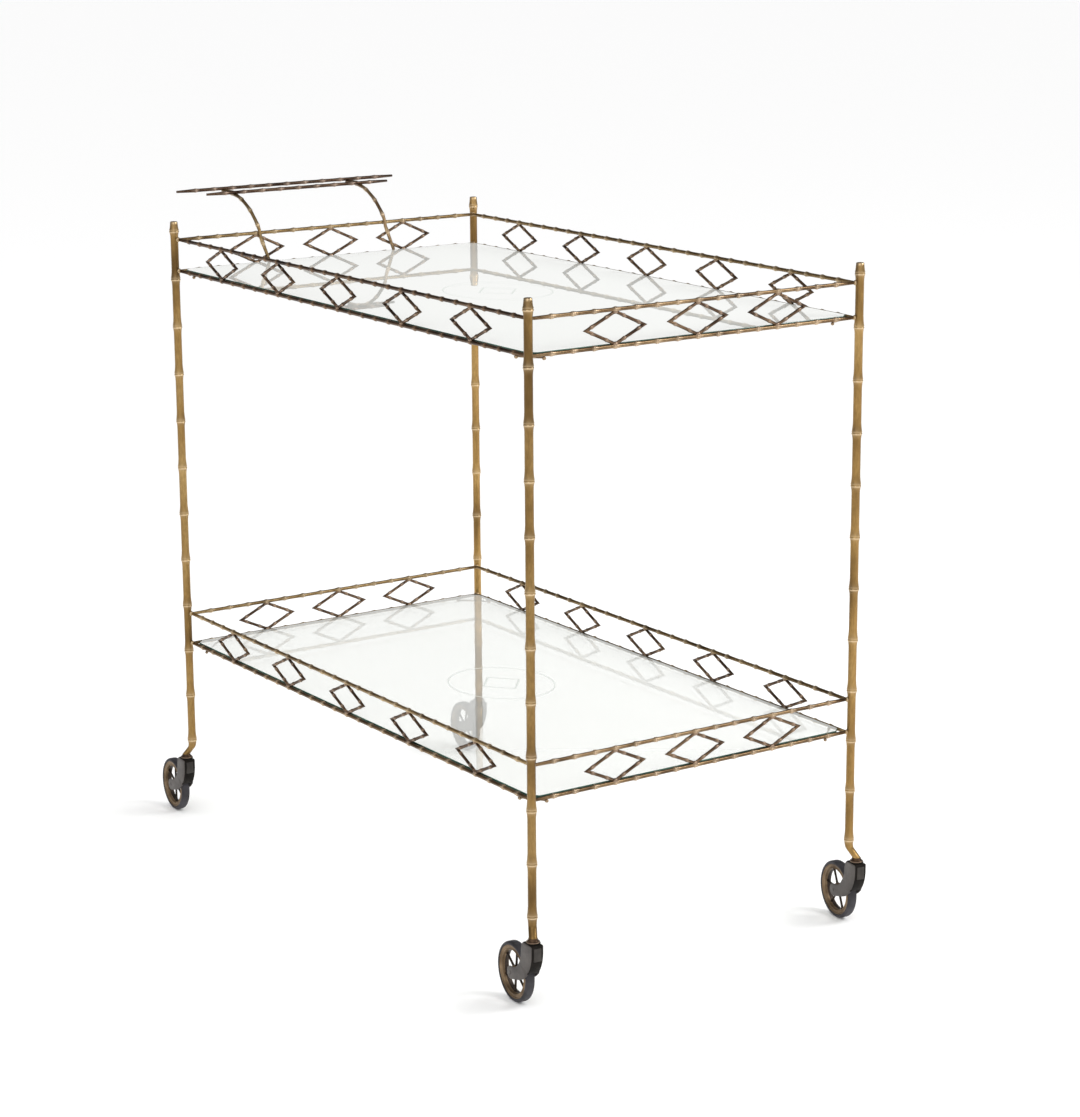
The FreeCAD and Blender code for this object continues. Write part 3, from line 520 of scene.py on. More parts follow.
# %% One post
def post_outline(top, bottom, chance):
    """A post's outline from its crown down, with rings set close where its foot is bent."""
    rings = [CROWN_RING + i * POST_PITCH for i in range(12)
             if top - CROWN_RING - i * POST_PITCH > KICK_TOP + FREE_OF_KICK]
    rod = bamboo_outline(top - bottom, rings, POST_WAIST, POST_NODE, POST_FLARE, CROWN_RADIUS, chance, glow=1)
    foot = top - bottom - KICK_TOP + KICK_END
    straight = [point for point in rod[:-1] if CROWN_LENGTH < point[0] < foot]
    bend = [(foot + KICK_RING_PITCH * i, POST_WAIST, 0.0) for i in range(KICK_RINGS)]
    return CROWN + straight + bend + rod[-1:]


def bend_share(value, soft=0.4):
    """0 at the start and 1 at the end: a soft curve first, then a straight slant."""
    value = min(max(value, 0), 1)
    rise = value * value / (2 * soft) if value < soft else value - soft / 2
    return rise / (1 - soft / 2)


def bent_post(corner, sx, sy, chance):
    """A post on its corner, spun, stood upright and kicked outward at its foot."""
    low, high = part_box(f"post_{corner}")
    foot_x, foot_y = (high if sx > 0 else low)[0], (high if sy > 0 else low)[1]
    crown = (foot_x - sx * (KICK.x + FOOT_RADIUS), foot_y - sy * (KICK.y + FOOT_RADIUS), high[2])
    bm = spin_outline(post_outline(high[2], low[2], chance), POST_STEPS)
    moved(bm, Matrix.Translation(crown) @ Matrix.Rotation(math.pi / 2, 4, "Y"))
    for vert in bm.verts:
        share = bend_share((KICK_TOP - vert.co.z) / (KICK_TOP - KICK_END))
        vert.co += Vector((sx * KICK.x, sy * KICK.y, 0)) * share
    return bm


def joint_beads(sx, sy):
    """A bead of braze where each of the four rails' levels meets a post."""
    corner_x, corner_y = tray_middle + sx * TRAY_LENGTH / 2, sy * (TRAY_WIDTH / 2 + BEAD_OUTWARD)
    beads = []
    for node in ("lower_shelf_rail", "lower_gallery_rail", "upper_shelf_rail", "upper_gallery_rail"):
        low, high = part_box(f"{node}_front")
        start = Vector((corner_x + sx * BEAD_OUTWARD, corner_y, (low[2] + high[2]) / 2 + BEAD_HALF))
        beads.append(laid(spin_outline(JOINT_BEAD, 14), start, Vector((0, 0, -1))))
    return beads


# %% All the posts
for seed, (corner, (sx, sy)) in enumerate(CORNERS.items()):
    parts = [bent_post(corner, sx, sy, random.Random(seed))] + joint_beads(sx, sy)
    finish(join(parts), f"bamboo_post_{corner}", [post_brass[corner]], "frame", [f"post_{corner}"])
print("posts:", len(CORNERS))

# %% [markdown]
# ## Rails
# Eight thin rods run round each shelf, four at the glass and four above it. The long ones have 27 nodes
# and the short ones 15. One rod could be drawn and copied, but then every rail would have the same small
# faults. One function spins each rod anew along X, with its own chance numbers, and a matrix turns and
# moves it into place.

# %% Rail sizes and finishes
RAIL_WAIST, RAIL_NODE, RAIL_FLARE, RAIL_END, RAIL_STEPS = 0.00220, 0.00315, 0.0072, 0.0019, 14
LONG_INTERVALS, SHORT_INTERVALS = 28, 16
INTO_POST = 0.0032


def rail_finish(tier, kind, side):
    """Rear and left rails get a lighter brass and the lower right gallery a paler one, as painted light; the
    upper right rods get a darker one as painted shade.
    """
    if (tier, kind, side) == ("lower", "gallery_rail", "right"):
        return pale_lit_rail_brass
    if side in ("rear", "left"):
        return lit_rail_brass
    return shaded_rail_brass if (tier, side) == ("upper", "right") else rail_brass


def run_of(node):
    """The middle and the span of a node on one side of a tray, and its heading, length and intervals."""
    low, high = (Vector(corner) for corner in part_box(node))
    middle, span = (low + high) / 2, high - low
    if span.x > span.y:
        return middle, span, Vector((1, 0, 0)), TRAY_LENGTH, LONG_INTERVALS
    return middle, span, Vector((0, 1, 0)), TRAY_WIDTH, SHORT_INTERVALS


# %% Rails
def rail(node, material, seed):
    """A bamboo rail on the axis of its CAD node, from inside one post to inside the next."""
    middle, _, heading, length, intervals = run_of(node)
    pitch = length / intervals
    rings = [k * pitch + INTO_POST for k in range(1, intervals)]
    outline = bamboo_outline(length + 2 * INTO_POST, rings, RAIL_WAIST, RAIL_NODE, RAIL_FLARE, RAIL_END,
                             random.Random(seed), 1 if seed % 2 else -1)
    bm = laid(spin_outline(outline, RAIL_STEPS), middle - heading * (length / 2 + INTO_POST), heading)
    return finish(bm, f"bamboo_{node}", [material], "frame", [node])


RAILS = [(tier, kind, side) for tier in TIERS for kind in ("shelf_rail", "gallery_rail") for side in SIDES]
for seed, (tier, kind, side) in enumerate(RAILS):
    rail(f"{tier}_{kind}_{side}", rail_finish(tier, kind, side), seed)
print("rails:", len(RAILS))

# %% [markdown]
# ## Lozenges
# Between the two rails of a side stand flat lozenges of still thinner bamboo, darker than the rails since
# no cloth reaches them. Each has four bars with two nodes, cut to a mitre where two of them meet at the
# side, and a bead of braze at the top and at the bottom. A square with a bevel would give the shape without
# the nodes, so the bars are spun, laid along the sides of the lozenge, cut by a plane and joined.

# %% One lozenge
BAR_WAIST, BAR_NODE, BAR_FLARE, BAR_STEPS = 0.00180, 0.00235, 0.0052, 10
BAR_RINGS = (0.26, 0.72)
MITRE = 0.0040
LOZENGE_HALF_WIDTH, BRAZE_HALF = 0.0387, 0.0036
BRAZE = [(0, 0.0010, 0.3), (0.0006, 0.0019, 0.4), (0.0018, 0.0026, 0.5), (0.0036, 0.0029, 0.55),
         (0.0054, 0.0026, 0.5), (0.0066, 0.0019, 0.4), (0.0072, 0.0010, 0.3)]


def mitred_bar(side_tip, end_tip, chance):
    """A bar from a side tip to the top or bottom one, cut level through the side tip."""
    heading = (end_tip - side_tip).normalized()
    length = (end_tip - side_tip).length + MITRE
    outline = bamboo_outline(length, [share * length for share in BAR_RINGS], BAR_WAIST, BAR_NODE, BAR_FLARE,
                             BAR_WAIST, chance, -1)
    bar = laid(spin_outline(outline, BAR_STEPS), side_tip - heading * MITRE, heading)
    bmesh.ops.bisect_plane(bar, geom=bar.verts[:] + bar.edges[:] + bar.faces[:], dist=1e-7,
                           plane_co=(0, 0, 0), plane_no=(0, 0, heading.z), clear_inner=True)
    bmesh.ops.holes_fill(bar, edges=[edge for edge in bar.edges if edge.is_boundary], sides=0)
    bmesh.ops.recalc_face_normals(bar, faces=bar.faces)
    return bar


def lozenge(half_height, chance):
    """One lozenge round the origin, in the XZ plane."""
    sides = (Vector((LOZENGE_HALF_WIDTH, 0, 0)), Vector((-LOZENGE_HALF_WIDTH, 0, 0)))
    ends = (Vector((0, 0, half_height)), Vector((0, 0, -half_height)))
    parts = [mitred_bar(side, end, chance) for side in sides for end in ends]
    for end in ends:
        parts.append(laid(spin_outline(BRAZE, BAR_STEPS), end - Vector((BRAZE_HALF, 0, 0)), Vector((1, 0, 0))))
    return join(parts)


# %% Rows of lozenges
# For a side of so many intervals: how many lozenges it has, and how many intervals apart they stand
LOZENGES = {LONG_INTERVALS: (5, 5), SHORT_INTERVALS: (3, 4)}


def lozenge_row(node, chance):
    """All the lozenges of one side, evenly spaced on the CAD node's row."""
    middle, span, heading, length, intervals = run_of(node)
    how_many, apart = LOZENGES[intervals]
    pitch = length / intervals * apart
    places = [middle + heading * pitch * (i - (how_many - 1) / 2) for i in range(how_many)]
    row = [laid(lozenge(span.z / 2, chance), place, heading) for place in places]
    return finish(join(row), f"bamboo_{node}", [lozenge_brass], "frame", [node])


ROWS = [f"{tier}_lozenges_{side}" for tier in TIERS for side in SIDES]
for number, node in enumerate(ROWS):
    lozenge_row(node, random.Random(100 + number))
print("rows of lozenges:", len(ROWS))

# %% [markdown]
# ## Handle arms
# Two thin arms rise inside the rear gallery rail, bend over it in an arc and carry two grip rods.
# The arms are rods that were turned straight and then bent, and the same order works here: a rod is
# spun along X, and then each ring is carried onto a path. A curve object with a bevel could follow
# the bend too, but it would lose the nodes.

# %% The path of an arm
ARM_FEET = {"right": -0.095, "left": 0.095}
ARM_LEAN, ARM_FOOT_X, ARM_LIFT = 0.0135, -0.3636, 0.0001
ARM_TIP, ARM_AT_RAIL = Vector((-0.4613, 0, 0.8262)), Vector((-0.3630, 0, 0.7770))
ARM_BEND, ARM_STRAIGHT, ARM_BEND_STOPS = 0.103, 0.014, 24


def arm_path(foot_y, foot_z):
    """Points from an arm's tip along its arc and down to its foot, which stands a little to the left."""
    top_y = foot_y - ARM_LEAN
    tip = Vector((ARM_TIP.x, top_y, ARM_TIP.z))
    centre = tip + Vector((ARM_STRAIGHT, 0, -ARM_BEND))
    turn = math.asin((ARM_AT_RAIL.x - centre.x) / ARM_BEND)
    angles = [turn * i / ARM_BEND_STOPS for i in range(ARM_BEND_STOPS + 1)]
    bend = [centre + Vector((math.sin(angle), 0, math.cos(angle))) * ARM_BEND for angle in angles]
    return [tip] + bend + [Vector((bend[-1].x, top_y, ARM_AT_RAIL.z)), Vector((ARM_FOOT_X, foot_y, foot_z))]


def reach_along(path):
    """How far along a path each of its points lies."""
    reach = [0.0]
    for start, end in zip(path, path[1:]):
        reach.append(reach[-1] + (end - start).length)
    return reach


# %% Arms
ARM_WAIST, ARM_NODE, ARM_FLARE, ARM_END, ARM_INTERVALS, ARM_STEPS = 0.0022, 0.0029, 0.0085, 0.0021, 6, 16
# An arm is thicker by this much under the grips, up to this far from its tip, and thins out over this length
GRIP_SEAT, GRIP_SEAT_END, GRIP_SEAT_FADE = 0.0007, 0.040, 0.006


def onto_path(bm, path):
    """Carries each point of a rod along X to the same distance along a path."""
    reach = reach_along(path)
    for vert in bm.verts:
        i = max(k for k in range(len(path) - 1) if reach[k] <= vert.co.x + 1e-9)
        step = (path[i + 1] - path[i]).normalized()
        across = Vector((0, 1, 0)) - step * step.y
        across.normalize()
        outward = step.cross(across)
        vert.co = path[i] + step * (vert.co.x - reach[i]) + across * vert.co.y - outward * vert.co.z
    bmesh.ops.recalc_face_normals(bm, faces=bm.faces)
    return bm


def bent_arm(hand, material, chance):
    """One handle arm from its tip to its foot on the upper tray."""
    low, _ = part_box(f"handle_arm_{hand}")
    path = arm_path(ARM_FEET[hand], low[2] + ARM_LIFT)
    length = reach_along(path)[-1]
    pitch = length / ARM_INTERVALS
    outline = bamboo_outline(length, [pitch * k for k in range(1, ARM_INTERVALS)], ARM_WAIST, ARM_NODE,
                             ARM_FLARE, ARM_END, chance)
    outline = [(along, radius + GRIP_SEAT * bend_share((GRIP_SEAT_END - along) / GRIP_SEAT_FADE), wear_and_highlight)
               for along, radius, wear_and_highlight in outline]
    bm = onto_path(spin_outline(outline, ARM_STEPS), path)
    return finish(bm, f"bamboo_arm_{hand}", [material], "frame", [f"handle_arm_{hand}"])


# The right arm gets the lighter copy of the brass, painted light
for seed, (hand, material) in enumerate((("right", lit_rail_brass), ("left", rail_brass))):
    bent_arm(hand, material, random.Random(seed))
print("arm feet at:", ARM_FEET)

# %% [markdown]
# ## Grip rods
# Two dark rods lie side by side across the arms, the outer one longer and a little higher. They could be
# copies of a rail, but their nodes are wider apart, so the spin that made the rails makes them anew.

# %% Grip rods
GRIP_WAIST, GRIP_NODE, GRIP_FLARE, GRIP_END, GRIP_STEPS = 0.0022, 0.0028, 0.0075, 0.0016, 18
GRIP_INTERVALS, GRIP_SINK = {"outer": 12, "inner": 10}, {"outer": 0.0005, "inner": 0.0016}
for kind, intervals in GRIP_INTERVALS.items():
    low, high = (Vector(corner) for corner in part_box(f"handle_{kind}_rod"))
    middle, length = (low + high) / 2, high.y - low.y
    rings = [k * length / intervals for k in range(1, intervals)]
    outline = bamboo_outline(length, rings, GRIP_WAIST, GRIP_NODE, GRIP_FLARE, GRIP_END,
                             random.Random(intervals))
    start = Vector((middle.x, low.y, middle.z - GRIP_SINK[kind]))
    grip = laid(spin_outline(outline, GRIP_STEPS), start, Vector((0, 1, 0)))
    finish(grip, f"bamboo_{kind}_grip", [grip_brass], "frame", [f"handle_{kind}_rod"])
    print(kind, "grip, length:", round(length, 4))

# %% [markdown]
# ## Glass shelves
# Each shelf is a plate 5 mm thick with slightly clipped corners and ground arrises. A scaled cube could be
# clipped by cutting its corners off, but it is simpler to start from one face with eight corners. It is
# extruded to its thickness and bevelled by under a millimetre, and then each face gets its own glass: the
# edges the green one, the top the etched one and the bottom the plain one.

# %% Glass shelves
CLIP, ARRIS = 0.009, 0.0006
PLATE_FACES = [shelf_glass, glass_edge, etched_glass]
BOTTOM, EDGE, TOP = 0, 1, 2


def glass_plate(low, high):
    """A plate that fills a box, with clipped corners and softened arrises."""
    bm = bmesh.new()
    corners = [(high.x, low.y + CLIP), (high.x, high.y - CLIP), (high.x - CLIP, high.y),
               (low.x + CLIP, high.y), (low.x, high.y - CLIP), (low.x, low.y + CLIP), (low.x + CLIP, low.y),
               (high.x - CLIP, low.y)]
    plate = bm.faces.new([bm.verts.new((x, y, low.z)) for x, y in corners])
    raised = bmesh.ops.extrude_face_region(bm, geom=[plate])
    bmesh.ops.translate(bm, vec=(0, 0, high.z - low.z),
                        verts=[part for part in raised["geom"] if isinstance(part, bmesh.types.BMVert)])
    bmesh.ops.recalc_face_normals(bm, faces=bm.faces)
    arrises = [edge for edge in bm.edges if abs(edge.verts[0].co.z - edge.verts[1].co.z) < 1e-6]
    rounded(bm, arrises, ARRIS, 2)
    bm.normal_update()
    for face in bm.faces:
        face.material_index = EDGE if abs(face.normal.z) < 0.95 else TOP if face.normal.z > 0 else BOTTOM
    return bm


for tier in TIERS:
    low, high = (Vector(corner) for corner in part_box(f"{tier}_glass_shelf"))
    shelf = finish(glass_plate(low, high), f"glass_plate_{tier}", PLATE_FACES, "frame",
                   [f"{tier}_glass_shelf"], smooth=False)
    print(shelf.name, "faces:", len(shelf.data.polygons))

# %% [markdown]
# ## Corner braces
# Under each corner of a glass shelf a short thin rod runs from rail to rail and carries the glass. Blobs of
# braze at its ends show as small bumps below the rails. A flat bar would show its corners from the side, so
# a thin rod is spun and laid across the corner.

# %% Corner braces
# How far from the post each brace meets the long rail and the short one
BRACE_REACH = {"front_right": (0.0257, 0.0188), "front_left": (0.0315, 0.0315),
               "rear_right": (0.0385, 0.0385), "rear_left": (0.0315, 0.0315)}
BRACE_WAIST, BRACE_NODE, BRACE_FLARE, BRACE_END, BRACE_STEPS = 0.0010, 0.0012, 0.004, 0.0008, 12
BRACE_BEAD = [(0, 0.0007, 0.2), (0.0005, 0.0014, 0.2), (0.0015, 0.0020, 0.3), (0.0029, 0.0020, 0.3),
              (0.0039, 0.0014, 0.2), (0.0044, 0.0007, 0.2)]
BRACE_BEAD_HALF, BRACE_BEAD_DROP = 0.0022, Vector((0, 0, 0.0005))


def brace(corner_point, sx, sy, reach, chance):
    """A rod across one corner of a tray, with a bead of braze at each end."""
    ends = (corner_point - Vector((sx * reach[0], 0, 0)), corner_point - Vector((0, sy * reach[1], 0)))
    across, length = (ends[1] - ends[0]).normalized(), (ends[1] - ends[0]).length
    outline = bamboo_outline(length, [length / 3, length * 2 / 3], BRACE_WAIST, BRACE_NODE, BRACE_FLARE,
                             BRACE_END, chance)
    parts = [laid(spin_outline(outline, BRACE_STEPS), ends[0], across)]
    for end in ends:
        start = end - across * BRACE_BEAD_HALF - BRACE_BEAD_DROP
        parts.append(laid(spin_outline(BRACE_BEAD, BRACE_STEPS), start, across))
    return parts


for tier in TIERS:
    low, high = (Vector(corner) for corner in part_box(f"{tier}_corner_braces"))
    braces = []
    for seed, (corner, (sx, sy)) in enumerate(CORNERS.items()):
        corner_point = Vector(((high.x + low.x) / 2 + sx * TRAY_LENGTH / 2, sy * TRAY_WIDTH / 2,
                               high.z - BRACE_NODE))
        braces += brace(corner_point, sx, sy, BRACE_REACH[corner], random.Random(seed))
    finish(join(braces), f"corner_braces_{tier}", [rail_brass], "frame", [f"{tier}_corner_braces"])
    print(tier, "braces and beads:", len(braces))

# %% [markdown]
# ## Castors
# Each castor has a fork pressed from sheet steel, a bronze wheel with six thin spokes and a rubber tyre,
# and it hangs from a brass ferrule on the leg's end. Its parts could be drawn where they stand, but every
# castor is turned a little differently. So they are modelled in millimetres round the pin, with the wheel
# trailing behind it, and one matrix per corner turns and scales them into the frame.

# %% Castor places
TRAIL, WHEEL_RADIUS = 40, 35
joints = {joint["name"]: joint for joint in frame["joints"]}


def castor_place(corner):
    """From millimetres on the floor under the pin to the frame's metres."""
    pin, axle = joints[f"swivel_{corner}"], joints[f"wheel_{corner}"]
    turn = math.atan2(-axle["axis"][0], axle["axis"][1])
    return Matrix.Translation((*pin["pos_m"][:2], 0)) @ Matrix.Rotation(turn, 4, "Z") @ Matrix.Scale(0.001, 4)


WHEEL_PLACE = Matrix.Translation((-TRAIL, 0, WHEEL_RADIUS)) @ Matrix.Rotation(math.pi / 2, 4, "Z")
UPRIGHT = Matrix.Rotation(-math.pi / 2, 4, "Y")
print("moving joints:", len(joints))

# %% [markdown]
# ## Rings
# The tyre, the rim, the hub and the ferrule are all rings. A torus has only one round section, so a closed
# outline that stays clear of the axis is spun round it instead. Symmetric outlines are drawn as one half,
# and the other half is its mirror.

# %% Rings
def spin_ring(outline, steps, wear_and_highlight_share=0.0, ridge=0.0):
    """A closed (along, radius) outline turned about X, with the wear_and_highlight share where it stands out
    past the ridge radius.
    """
    bm = bmesh.new()
    wear_and_highlight = bm.verts.layers.float.new("wear_and_highlight")
    loop = [bm.verts.new((along, 0, radius)) for along, radius in outline]
    for vert, (_, radius) in zip(loop, outline):
        vert[wear_and_highlight] = wear_and_highlight_share if radius > ridge else 0
    edges = [bm.edges.new(pair) for pair in zip(loop, loop[1:] + loop[:1])]
    return full_spin(bm, loop + edges, steps, 1e-5)


def both_sides(half):
    """A half outline on the +X side, and its mirror on the other side."""
    return half + [(-along, radius) for along, radius in reversed(half)]


TYRE = both_sides([(2.0, 35.0), (3.2, 34.93), (4.2, 34.65), (4.9, 34.2), (5.4, 33.5), (5.72, 32.7),
                   (5.75, 31.9), (5.5, 31.3), (5.0, 31.02)])
RIM = both_sides([(4.8, 31.0), (5.0, 30.7), (5.0, 30.0), (4.7, 29.7), (4.2, 29.4), (3.95, 28.6), (4.05, 27.4),
                  (4.45, 26.6), (4.75, 26.3), (4.7, 25.8), (4.3, 25.5), (2.8, 25.15), (1.0, 25.0)])
HUB = both_sides([(5.9, 2.6), (6.0, 2.8), (6.0, 4.4), (5.7, 4.8), (4.6, 5.1), (3.4, 6.3), (2.2, 7.0)])
TYRE_STEPS, RIM_STEPS, HUB_STEPS = 96, 72, 36
print("outline points of tyre, rim and hub:", len(TYRE), len(RIM), len(HUB))

# %% [markdown]
# ## Wheels
# A spoke is cast, so it widens where it meets the hub and the rim. A plain bar would miss that, so it starts
# as a cube that is stretched and cut across, and then each cross-section is widened by its distance from the
# middle. Six spokes, the rim and the hub are joined to one piece, since they turn together. The spokes and the
# inner lip of the rim lie in shade inside the wheel, so both get a near-black bronze as painted shade.

# %% Spokes
SPOKE_SIZE, SPOKE_CUTS, SPOKE_MIDDLE = Vector((2.6, 1.4, 20.5)), 7, 15.9
SPOKE_WIDENING, SPOKE_BEVEL = 0.9, 0.35
# SHADED_METAL is the near-black bronze: painted shade on the spokes and on the rim's inner lip
RIM_METAL, SHADED_METAL = 0, 1


def spoke(turn):
    """One spoke from the hub to the rim, in the wheel's own millimetres."""
    bm = bmesh.new()
    bmesh.ops.create_cube(bm, size=1)
    bmesh.ops.scale(bm, vec=SPOKE_SIZE, verts=bm.verts)
    long_edges = [edge for edge in bm.edges if abs(edge.verts[0].co.z - edge.verts[1].co.z) > 1]
    bmesh.ops.subdivide_edges(bm, edges=long_edges, cuts=SPOKE_CUTS)
    for vert in bm.verts:
        widen = 1 + SPOKE_WIDENING * (abs(vert.co.z) / (SPOKE_SIZE.z / 2)) ** 4
        vert.co.y *= widen
        vert.co.x *= widen ** 0.4
    rounded(bm, [edge for edge in bm.edges if edge.calc_face_angle(0) > 1.2], SPOKE_BEVEL, 2)
    for face in bm.faces:
        # The whole spoke gets the near-black bronze as painted shade
        face.material_index = SHADED_METAL
    return moved(bm, Matrix.Rotation(turn, 4, "X") @ Matrix.Translation((0, 0, SPOKE_MIDDLE)))


# %% Wheels
# How far each wheel has rolled, in degrees, and which part of the rim is its inner lip that gets painted shade
WHEEL_TURNS = {"front_right": 36.0, "front_left": 65.0, "rear_right": 30.0, "rear_left": 40.0}
LIP_RADIUS, LIP_FROM = 25.6, -0.5


def shaded_rim():
    """The rim, with the spokes' painted shade on its inner lip from the middle to the +X side."""
    rim = spin_ring(RIM, RIM_STEPS)
    for face in rim.faces:
        centre = face.calc_center_median()
        lip = math.hypot(centre.y, centre.z) < LIP_RADIUS and centre.x > LIP_FROM
        face.material_index = SHADED_METAL if lip else RIM_METAL
    return rim


for corner in CORNERS:
    place = castor_place(corner) @ WHEEL_PLACE
    finish(moved(spin_ring(TYRE, TYRE_STEPS), place), f"tyre_{corner}", [tyre_rubber], f"wheel_{corner}",
           [f"wheel_tyre_{corner}"])
    turns = [math.radians(60 * i + 30 + WHEEL_TURNS[corner]) for i in range(6)]
    wheel = join([shaded_rim(), spin_ring(HUB, HUB_STEPS)] + [spoke(turn) for turn in turns])
    finish(moved(wheel, place), f"wheel_{corner}", [rim_bronze, shaded_bronze], f"wheel_{corner}",
           [f"wheel_rim_{corner}"])
print("wheels:", len(WHEEL_TURNS))

# %% [markdown]
# ## Forks
# The fork is sheet metal. Two boxes and a lid would look like wood, so it is modelled as a sheet: one
# cheek is a face with the fork's outline, the other is its copy, and a strip bridges them over the crown and
# down the front. The folds are bevelled round, and a Solidify modifier gives the sheet its thickness on the
# inside. The front lies in the shade of the leg, so it and the crown get a nearly black steel as painted
# shade, and a small lighter plate high on the front is a painted reflection.

# %% The outline of a cheek
def arc(centre, radius, start, end, steps):
    """Points along an arc in the XZ plane, from one angle in degrees to another."""
    angles = [math.radians(start + (end - start) * i / steps) for i in range(steps + 1)]
    return [(centre[0] + radius * math.cos(a), centre[1] + radius * math.sin(a)) for a in angles]


FORK_TOP = 81.8
# Centre and radius of the belly in front, of the eye round the axle and of the hollow above the wheel
BELLY, AXLE_EYE, HOLLOW = ((-31.5, 73), 42), ((-TRAIL, WHEEL_RADIUS), 7.5), ((-TRAIL, 68), 25.5)
FORK_FRONT = [(-9.5, FORK_TOP), (10.5, FORK_TOP)] + arc(*BELLY, 0, -40.9, 12)
FORK_REAR = (arc(*BELLY, -43, -75, 8) + arc(*AXLE_EYE, -82, -270, 16) + arc(*HOLLOW, -85, 0, 14)
             + [(-14.1, 72.8), (-12.6, 77.5)])
print("points round a cheek:", len(FORK_FRONT + FORK_REAR))

# %% The folded sheet
FORK_HALF, FOLD_RADIUS = 7.9, 2.0
CHEEK_STEEL, FRONT_SHADE = 0, 1


def folded_sheet():
    """Two cheeks and the strip between them, with round folds."""
    bm = bmesh.new()
    loop = [bm.verts.new((x, -FORK_HALF, z)) for x, z in FORK_FRONT + FORK_REAR]
    cheek = bm.faces.new(loop)
    copy = bmesh.ops.duplicate(bm, geom=[cheek] + cheek.edges[:] + loop)
    twins = [copy["vert_map"][vert] for vert in loop]
    bmesh.ops.translate(bm, vec=(0, 2 * FORK_HALF, 0), verts=twins)
    fronts = (loop[:len(FORK_FRONT)], twins[:len(FORK_FRONT)])
    chains = [[bm.edges.get(pair) for pair in zip(row, row[1:])] for row in fronts]
    bmesh.ops.bridge_loops(bm, edges=chains[0] + chains[1])
    bmesh.ops.recalc_face_normals(bm, faces=bm.faces)
    bm.normal_update()
    if cheek.normal.y > 0:
        bmesh.ops.reverse_faces(bm, faces=bm.faces)
    folds = chains[0] + chains[1] + [bm.edges.get((loop[1], twins[1]))]
    rounded(bm, folds, FOLD_RADIUS, 4)
    bm.normal_update()
    for face in bm.faces:
        # The front and crown get fork_shade, painted shade; the cheeks keep the plain steel
        face.material_index = CHEEK_STEEL if abs(face.normal.y) > 0.75 else FRONT_SHADE
    return bm


# %% Forks
FORK_SHEET, EDGE_ROUNDING = 0.0014, 0.00025
# The small plate is a painted reflection high on the fork's front
PANEL_SIZE, PANEL_AT, PANEL_BEVEL = (1.4, 9.6, 15.5), (10.1, 0, 70.8), 0.45


def fork(corner):
    """The fork's sheet on its castor, thickened and with its cut edges rounded."""
    piece = finish(moved(folded_sheet(), castor_place(corner)), f"fork_{corner}", [fork_steel, fork_shade],
                   f"swivel_{corner}", [f"caster_fork_{corner}"])
    wall = piece.modifiers.new("sheet", "SOLIDIFY")
    wall.thickness, wall.offset = FORK_SHEET, -1
    edge = piece.modifiers.new("edges", "BEVEL")
    edge.width, edge.segments = EDGE_ROUNDING, 2
    edge.limit_method, edge.angle_limit = "ANGLE", math.radians(50)


def fork_reflection_panel(corner):
    """The small lighter plate on the front of a fork, a painted reflection."""
    panel = bmesh.new()
    bmesh.ops.create_cube(panel, size=1)
    bmesh.ops.scale(panel, vec=PANEL_SIZE, verts=panel.verts)
    rounded(panel, panel.edges[:], PANEL_BEVEL, 3)
    moved(panel, castor_place(corner) @ Matrix.Translation(PANEL_AT))
    finish(panel, f"fork_reflection_panel_{corner}", [painted_reflection_steel], f"swivel_{corner}", [])


for corner in CORNERS:
    fork(corner)
    fork_reflection_panel(corner)
print("forks:", len(CORNERS), "with a sheet of", FORK_SHEET)

# %% [markdown]
# ## Rivets and ferrules
# A rivet with low domed heads holds each wheel in its fork. The leg ends in a brass ferrule like a small
# bell, with a rounded flange that carries a painted highlight, over a washer on the fork's crown that is
# painted dark as shade. Stacked cylinders would give hard steps, so these are spun too: the rivet as a closed
# rod, and the ferrule and the washer as rings round the pin.

# %% Rivets and ferrules
RIVET = [(-8.3, 0.9, 0.3), (-8.2, 1.7, 0.3), (-7.95, 2.45, 0.2), (7.95, 2.45, 0.2), (8.2, 1.7, 0.3),
         (8.3, 0.9, 0.3)]
WASHER = [(81.9, 3.9), (81.9, 8.3), (82.1, 8.5), (82.5, 8.5), (82.7, 8.3), (82.7, 3.9)]
FERRULE = [(82.75, 3.9), (82.75, 6.9), (82.95, 7.5), (83.4, 7.9), (83.95, 7.9), (84.35, 7.5), (84.5, 6.9),
           (84.6, 6.2), (84.85, 6.0), (85.05, 6.25), (85.35, 6.35), (85.7, 6.2), (86.0, 5.8), (86.6, 5.5),
           (87.3, 5.4), (87.8, 5.2), (88.0, 4.9), (88.0, 3.9)]
RIVET_STEPS, FERRULE_STEPS = 24, 36
# FLANGE_HIGHLIGHT is a painted highlight on each ferrule's flange, where it stands out past FLANGE_FROM
FLANGE_HIGHLIGHT, FLANGE_FROM = 0.4, 6.9
ferrules, washers = [], []
for corner in CORNERS:
    place = castor_place(corner)
    finish(moved(spin_outline(RIVET, RIVET_STEPS), place @ WHEEL_PLACE), f"rivet_{corner}", [fork_steel],
           f"swivel_{corner}", [f"caster_axle_{corner}"])
    ferrules.append(moved(spin_ring(FERRULE, FERRULE_STEPS, FLANGE_HIGHLIGHT, FLANGE_FROM), place @ UPRIGHT))
    washers.append(moved(spin_ring(WASHER, FERRULE_STEPS), place @ UPRIGHT))
print("ferrules and washers:", len(ferrules), len(washers))
finish(join(ferrules), "ferrules", [lozenge_brass], "frame", ["leg_ferrules"])
# The washers take fork_shade: painted shade for the dark line under each ferrule's flange
finish(join(washers), "ferrule_washers", [fork_shade], "frame", [])

# %% [markdown]
# ## CAD pieces that keep their shape
# The swivel pins are plain steel cylinders, hidden between fork and leg. They could be spun as the rivets
# were, but nothing would look different, so the CAD shape stays and only gets its finish.

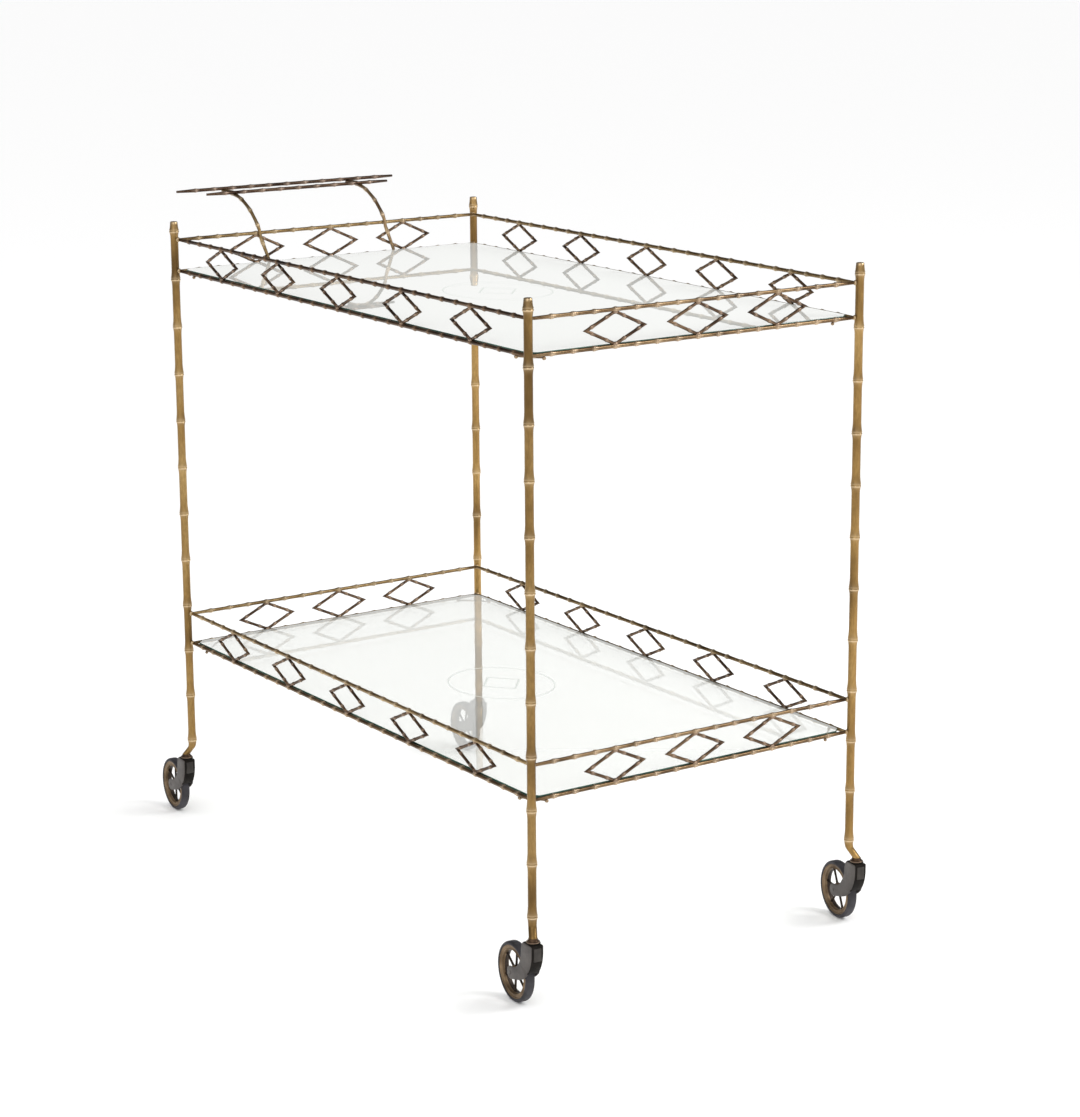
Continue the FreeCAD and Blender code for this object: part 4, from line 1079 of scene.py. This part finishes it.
# %% Finishes on CAD pieces
pins = frame["nodes"]["swivel_pins"]
pins.data.materials.clear()
pins.data.materials.append(pin_steel)
print("kept from CAD:", pins.name)

# %% [markdown]
# ## Studio
# The photograph is lit from all around in a white studio, with the strongest light from above and from the
# right. A large pale floor fills the view, and two big soft lamps shape the rods. Metal in an all-white room
# looks flat, so photographers put dark cards beside it. Dark planes could stand round the trolley, but the
# glass would mirror them. Here the world does that work: glossy rays see a darker room behind the
# trolley, while the camera and the sharp mirror of the glass see white.

# %% Floor
FLOOR_SIZE, FLOOR_DROP, FLOOR_WHITE = 60, 0.0002, 0.985
bm = bmesh.new()
bmesh.ops.create_grid(bm, x_segments=1, y_segments=1, size=FLOOR_SIZE)
floor_mesh = bpy.data.meshes.new("floor")
bm.to_mesh(floor_mesh)
bm.free()
floor_material, nodes, links, shader = new_material("pale_floor")
shader.inputs["Base Color"].default_value = (FLOOR_WHITE, FLOOR_WHITE, FLOOR_WHITE, 1)
shader.inputs["Roughness"].default_value = 0.9
shader.inputs["Specular IOR Level"].default_value = 0.1
floor_mesh.materials.append(floor_material)
floor = bpy.data.objects.new("floor", floor_mesh)
floor.location.z = -FLOOR_DROP
bpy.context.collection.objects.link(floor)
print("floor:", floor.name)

# %% The white room and its dark side
DARK_SIDE = [(0.0, (0.14, 0.14, 0.14)), (0.35, (0.42, 0.42, 0.42)), (0.85, (1, 1, 1))]
world = bpy.data.worlds.new("studio")
world.use_nodes = True
bpy.context.scene.world = world
nodes, links = world.node_tree.nodes, world.node_tree.links
direction, rays = nodes.new("ShaderNodeTexCoord"), nodes.new("ShaderNodeLightPath")
towards = vector_math(nodes, links, "DOT_PRODUCT", direction.outputs["Generated"], tuple(back))
card = ramp(nodes, links, towards, DARK_SIDE)
soft_gloss = calc(nodes, links, "SUBTRACT", rays.outputs["Is Glossy Ray"], rays.outputs["Is Singular Ray"])
links.new(mix(nodes, links, soft_gloss, (1, 1, 1), card), nodes["Background"].inputs["Color"])
print("world:", world.name)


# %% Lamps
def lamp(name, place, target, size, power):
    """A square soft lamp that faces a point."""
    data = bpy.data.lights.new(name, "AREA")
    data.shape, data.size, data.energy = "SQUARE", size, power
    made = bpy.data.objects.new(name, data)
    bpy.context.collection.objects.link(made)
    facing = Vector(target) - Vector(place)
    made.matrix_world = Matrix.Translation(place) @ facing.to_track_quat("-Z", "Y").to_matrix().to_4x4()
    print("lamp:", name, power, "W")


TROLLEY_MIDDLE = (0, 0, 0.4)
lamp("key", (2.2, 2.8, 3.0), TROLLEY_MIDDLE, 1.6, 75)
lamp("fill", (2.4, -2.6, 3.0), TROLLEY_MIDDLE, 2.0, 18)
bpy.context.scene.view_settings.view_transform = "Standard"
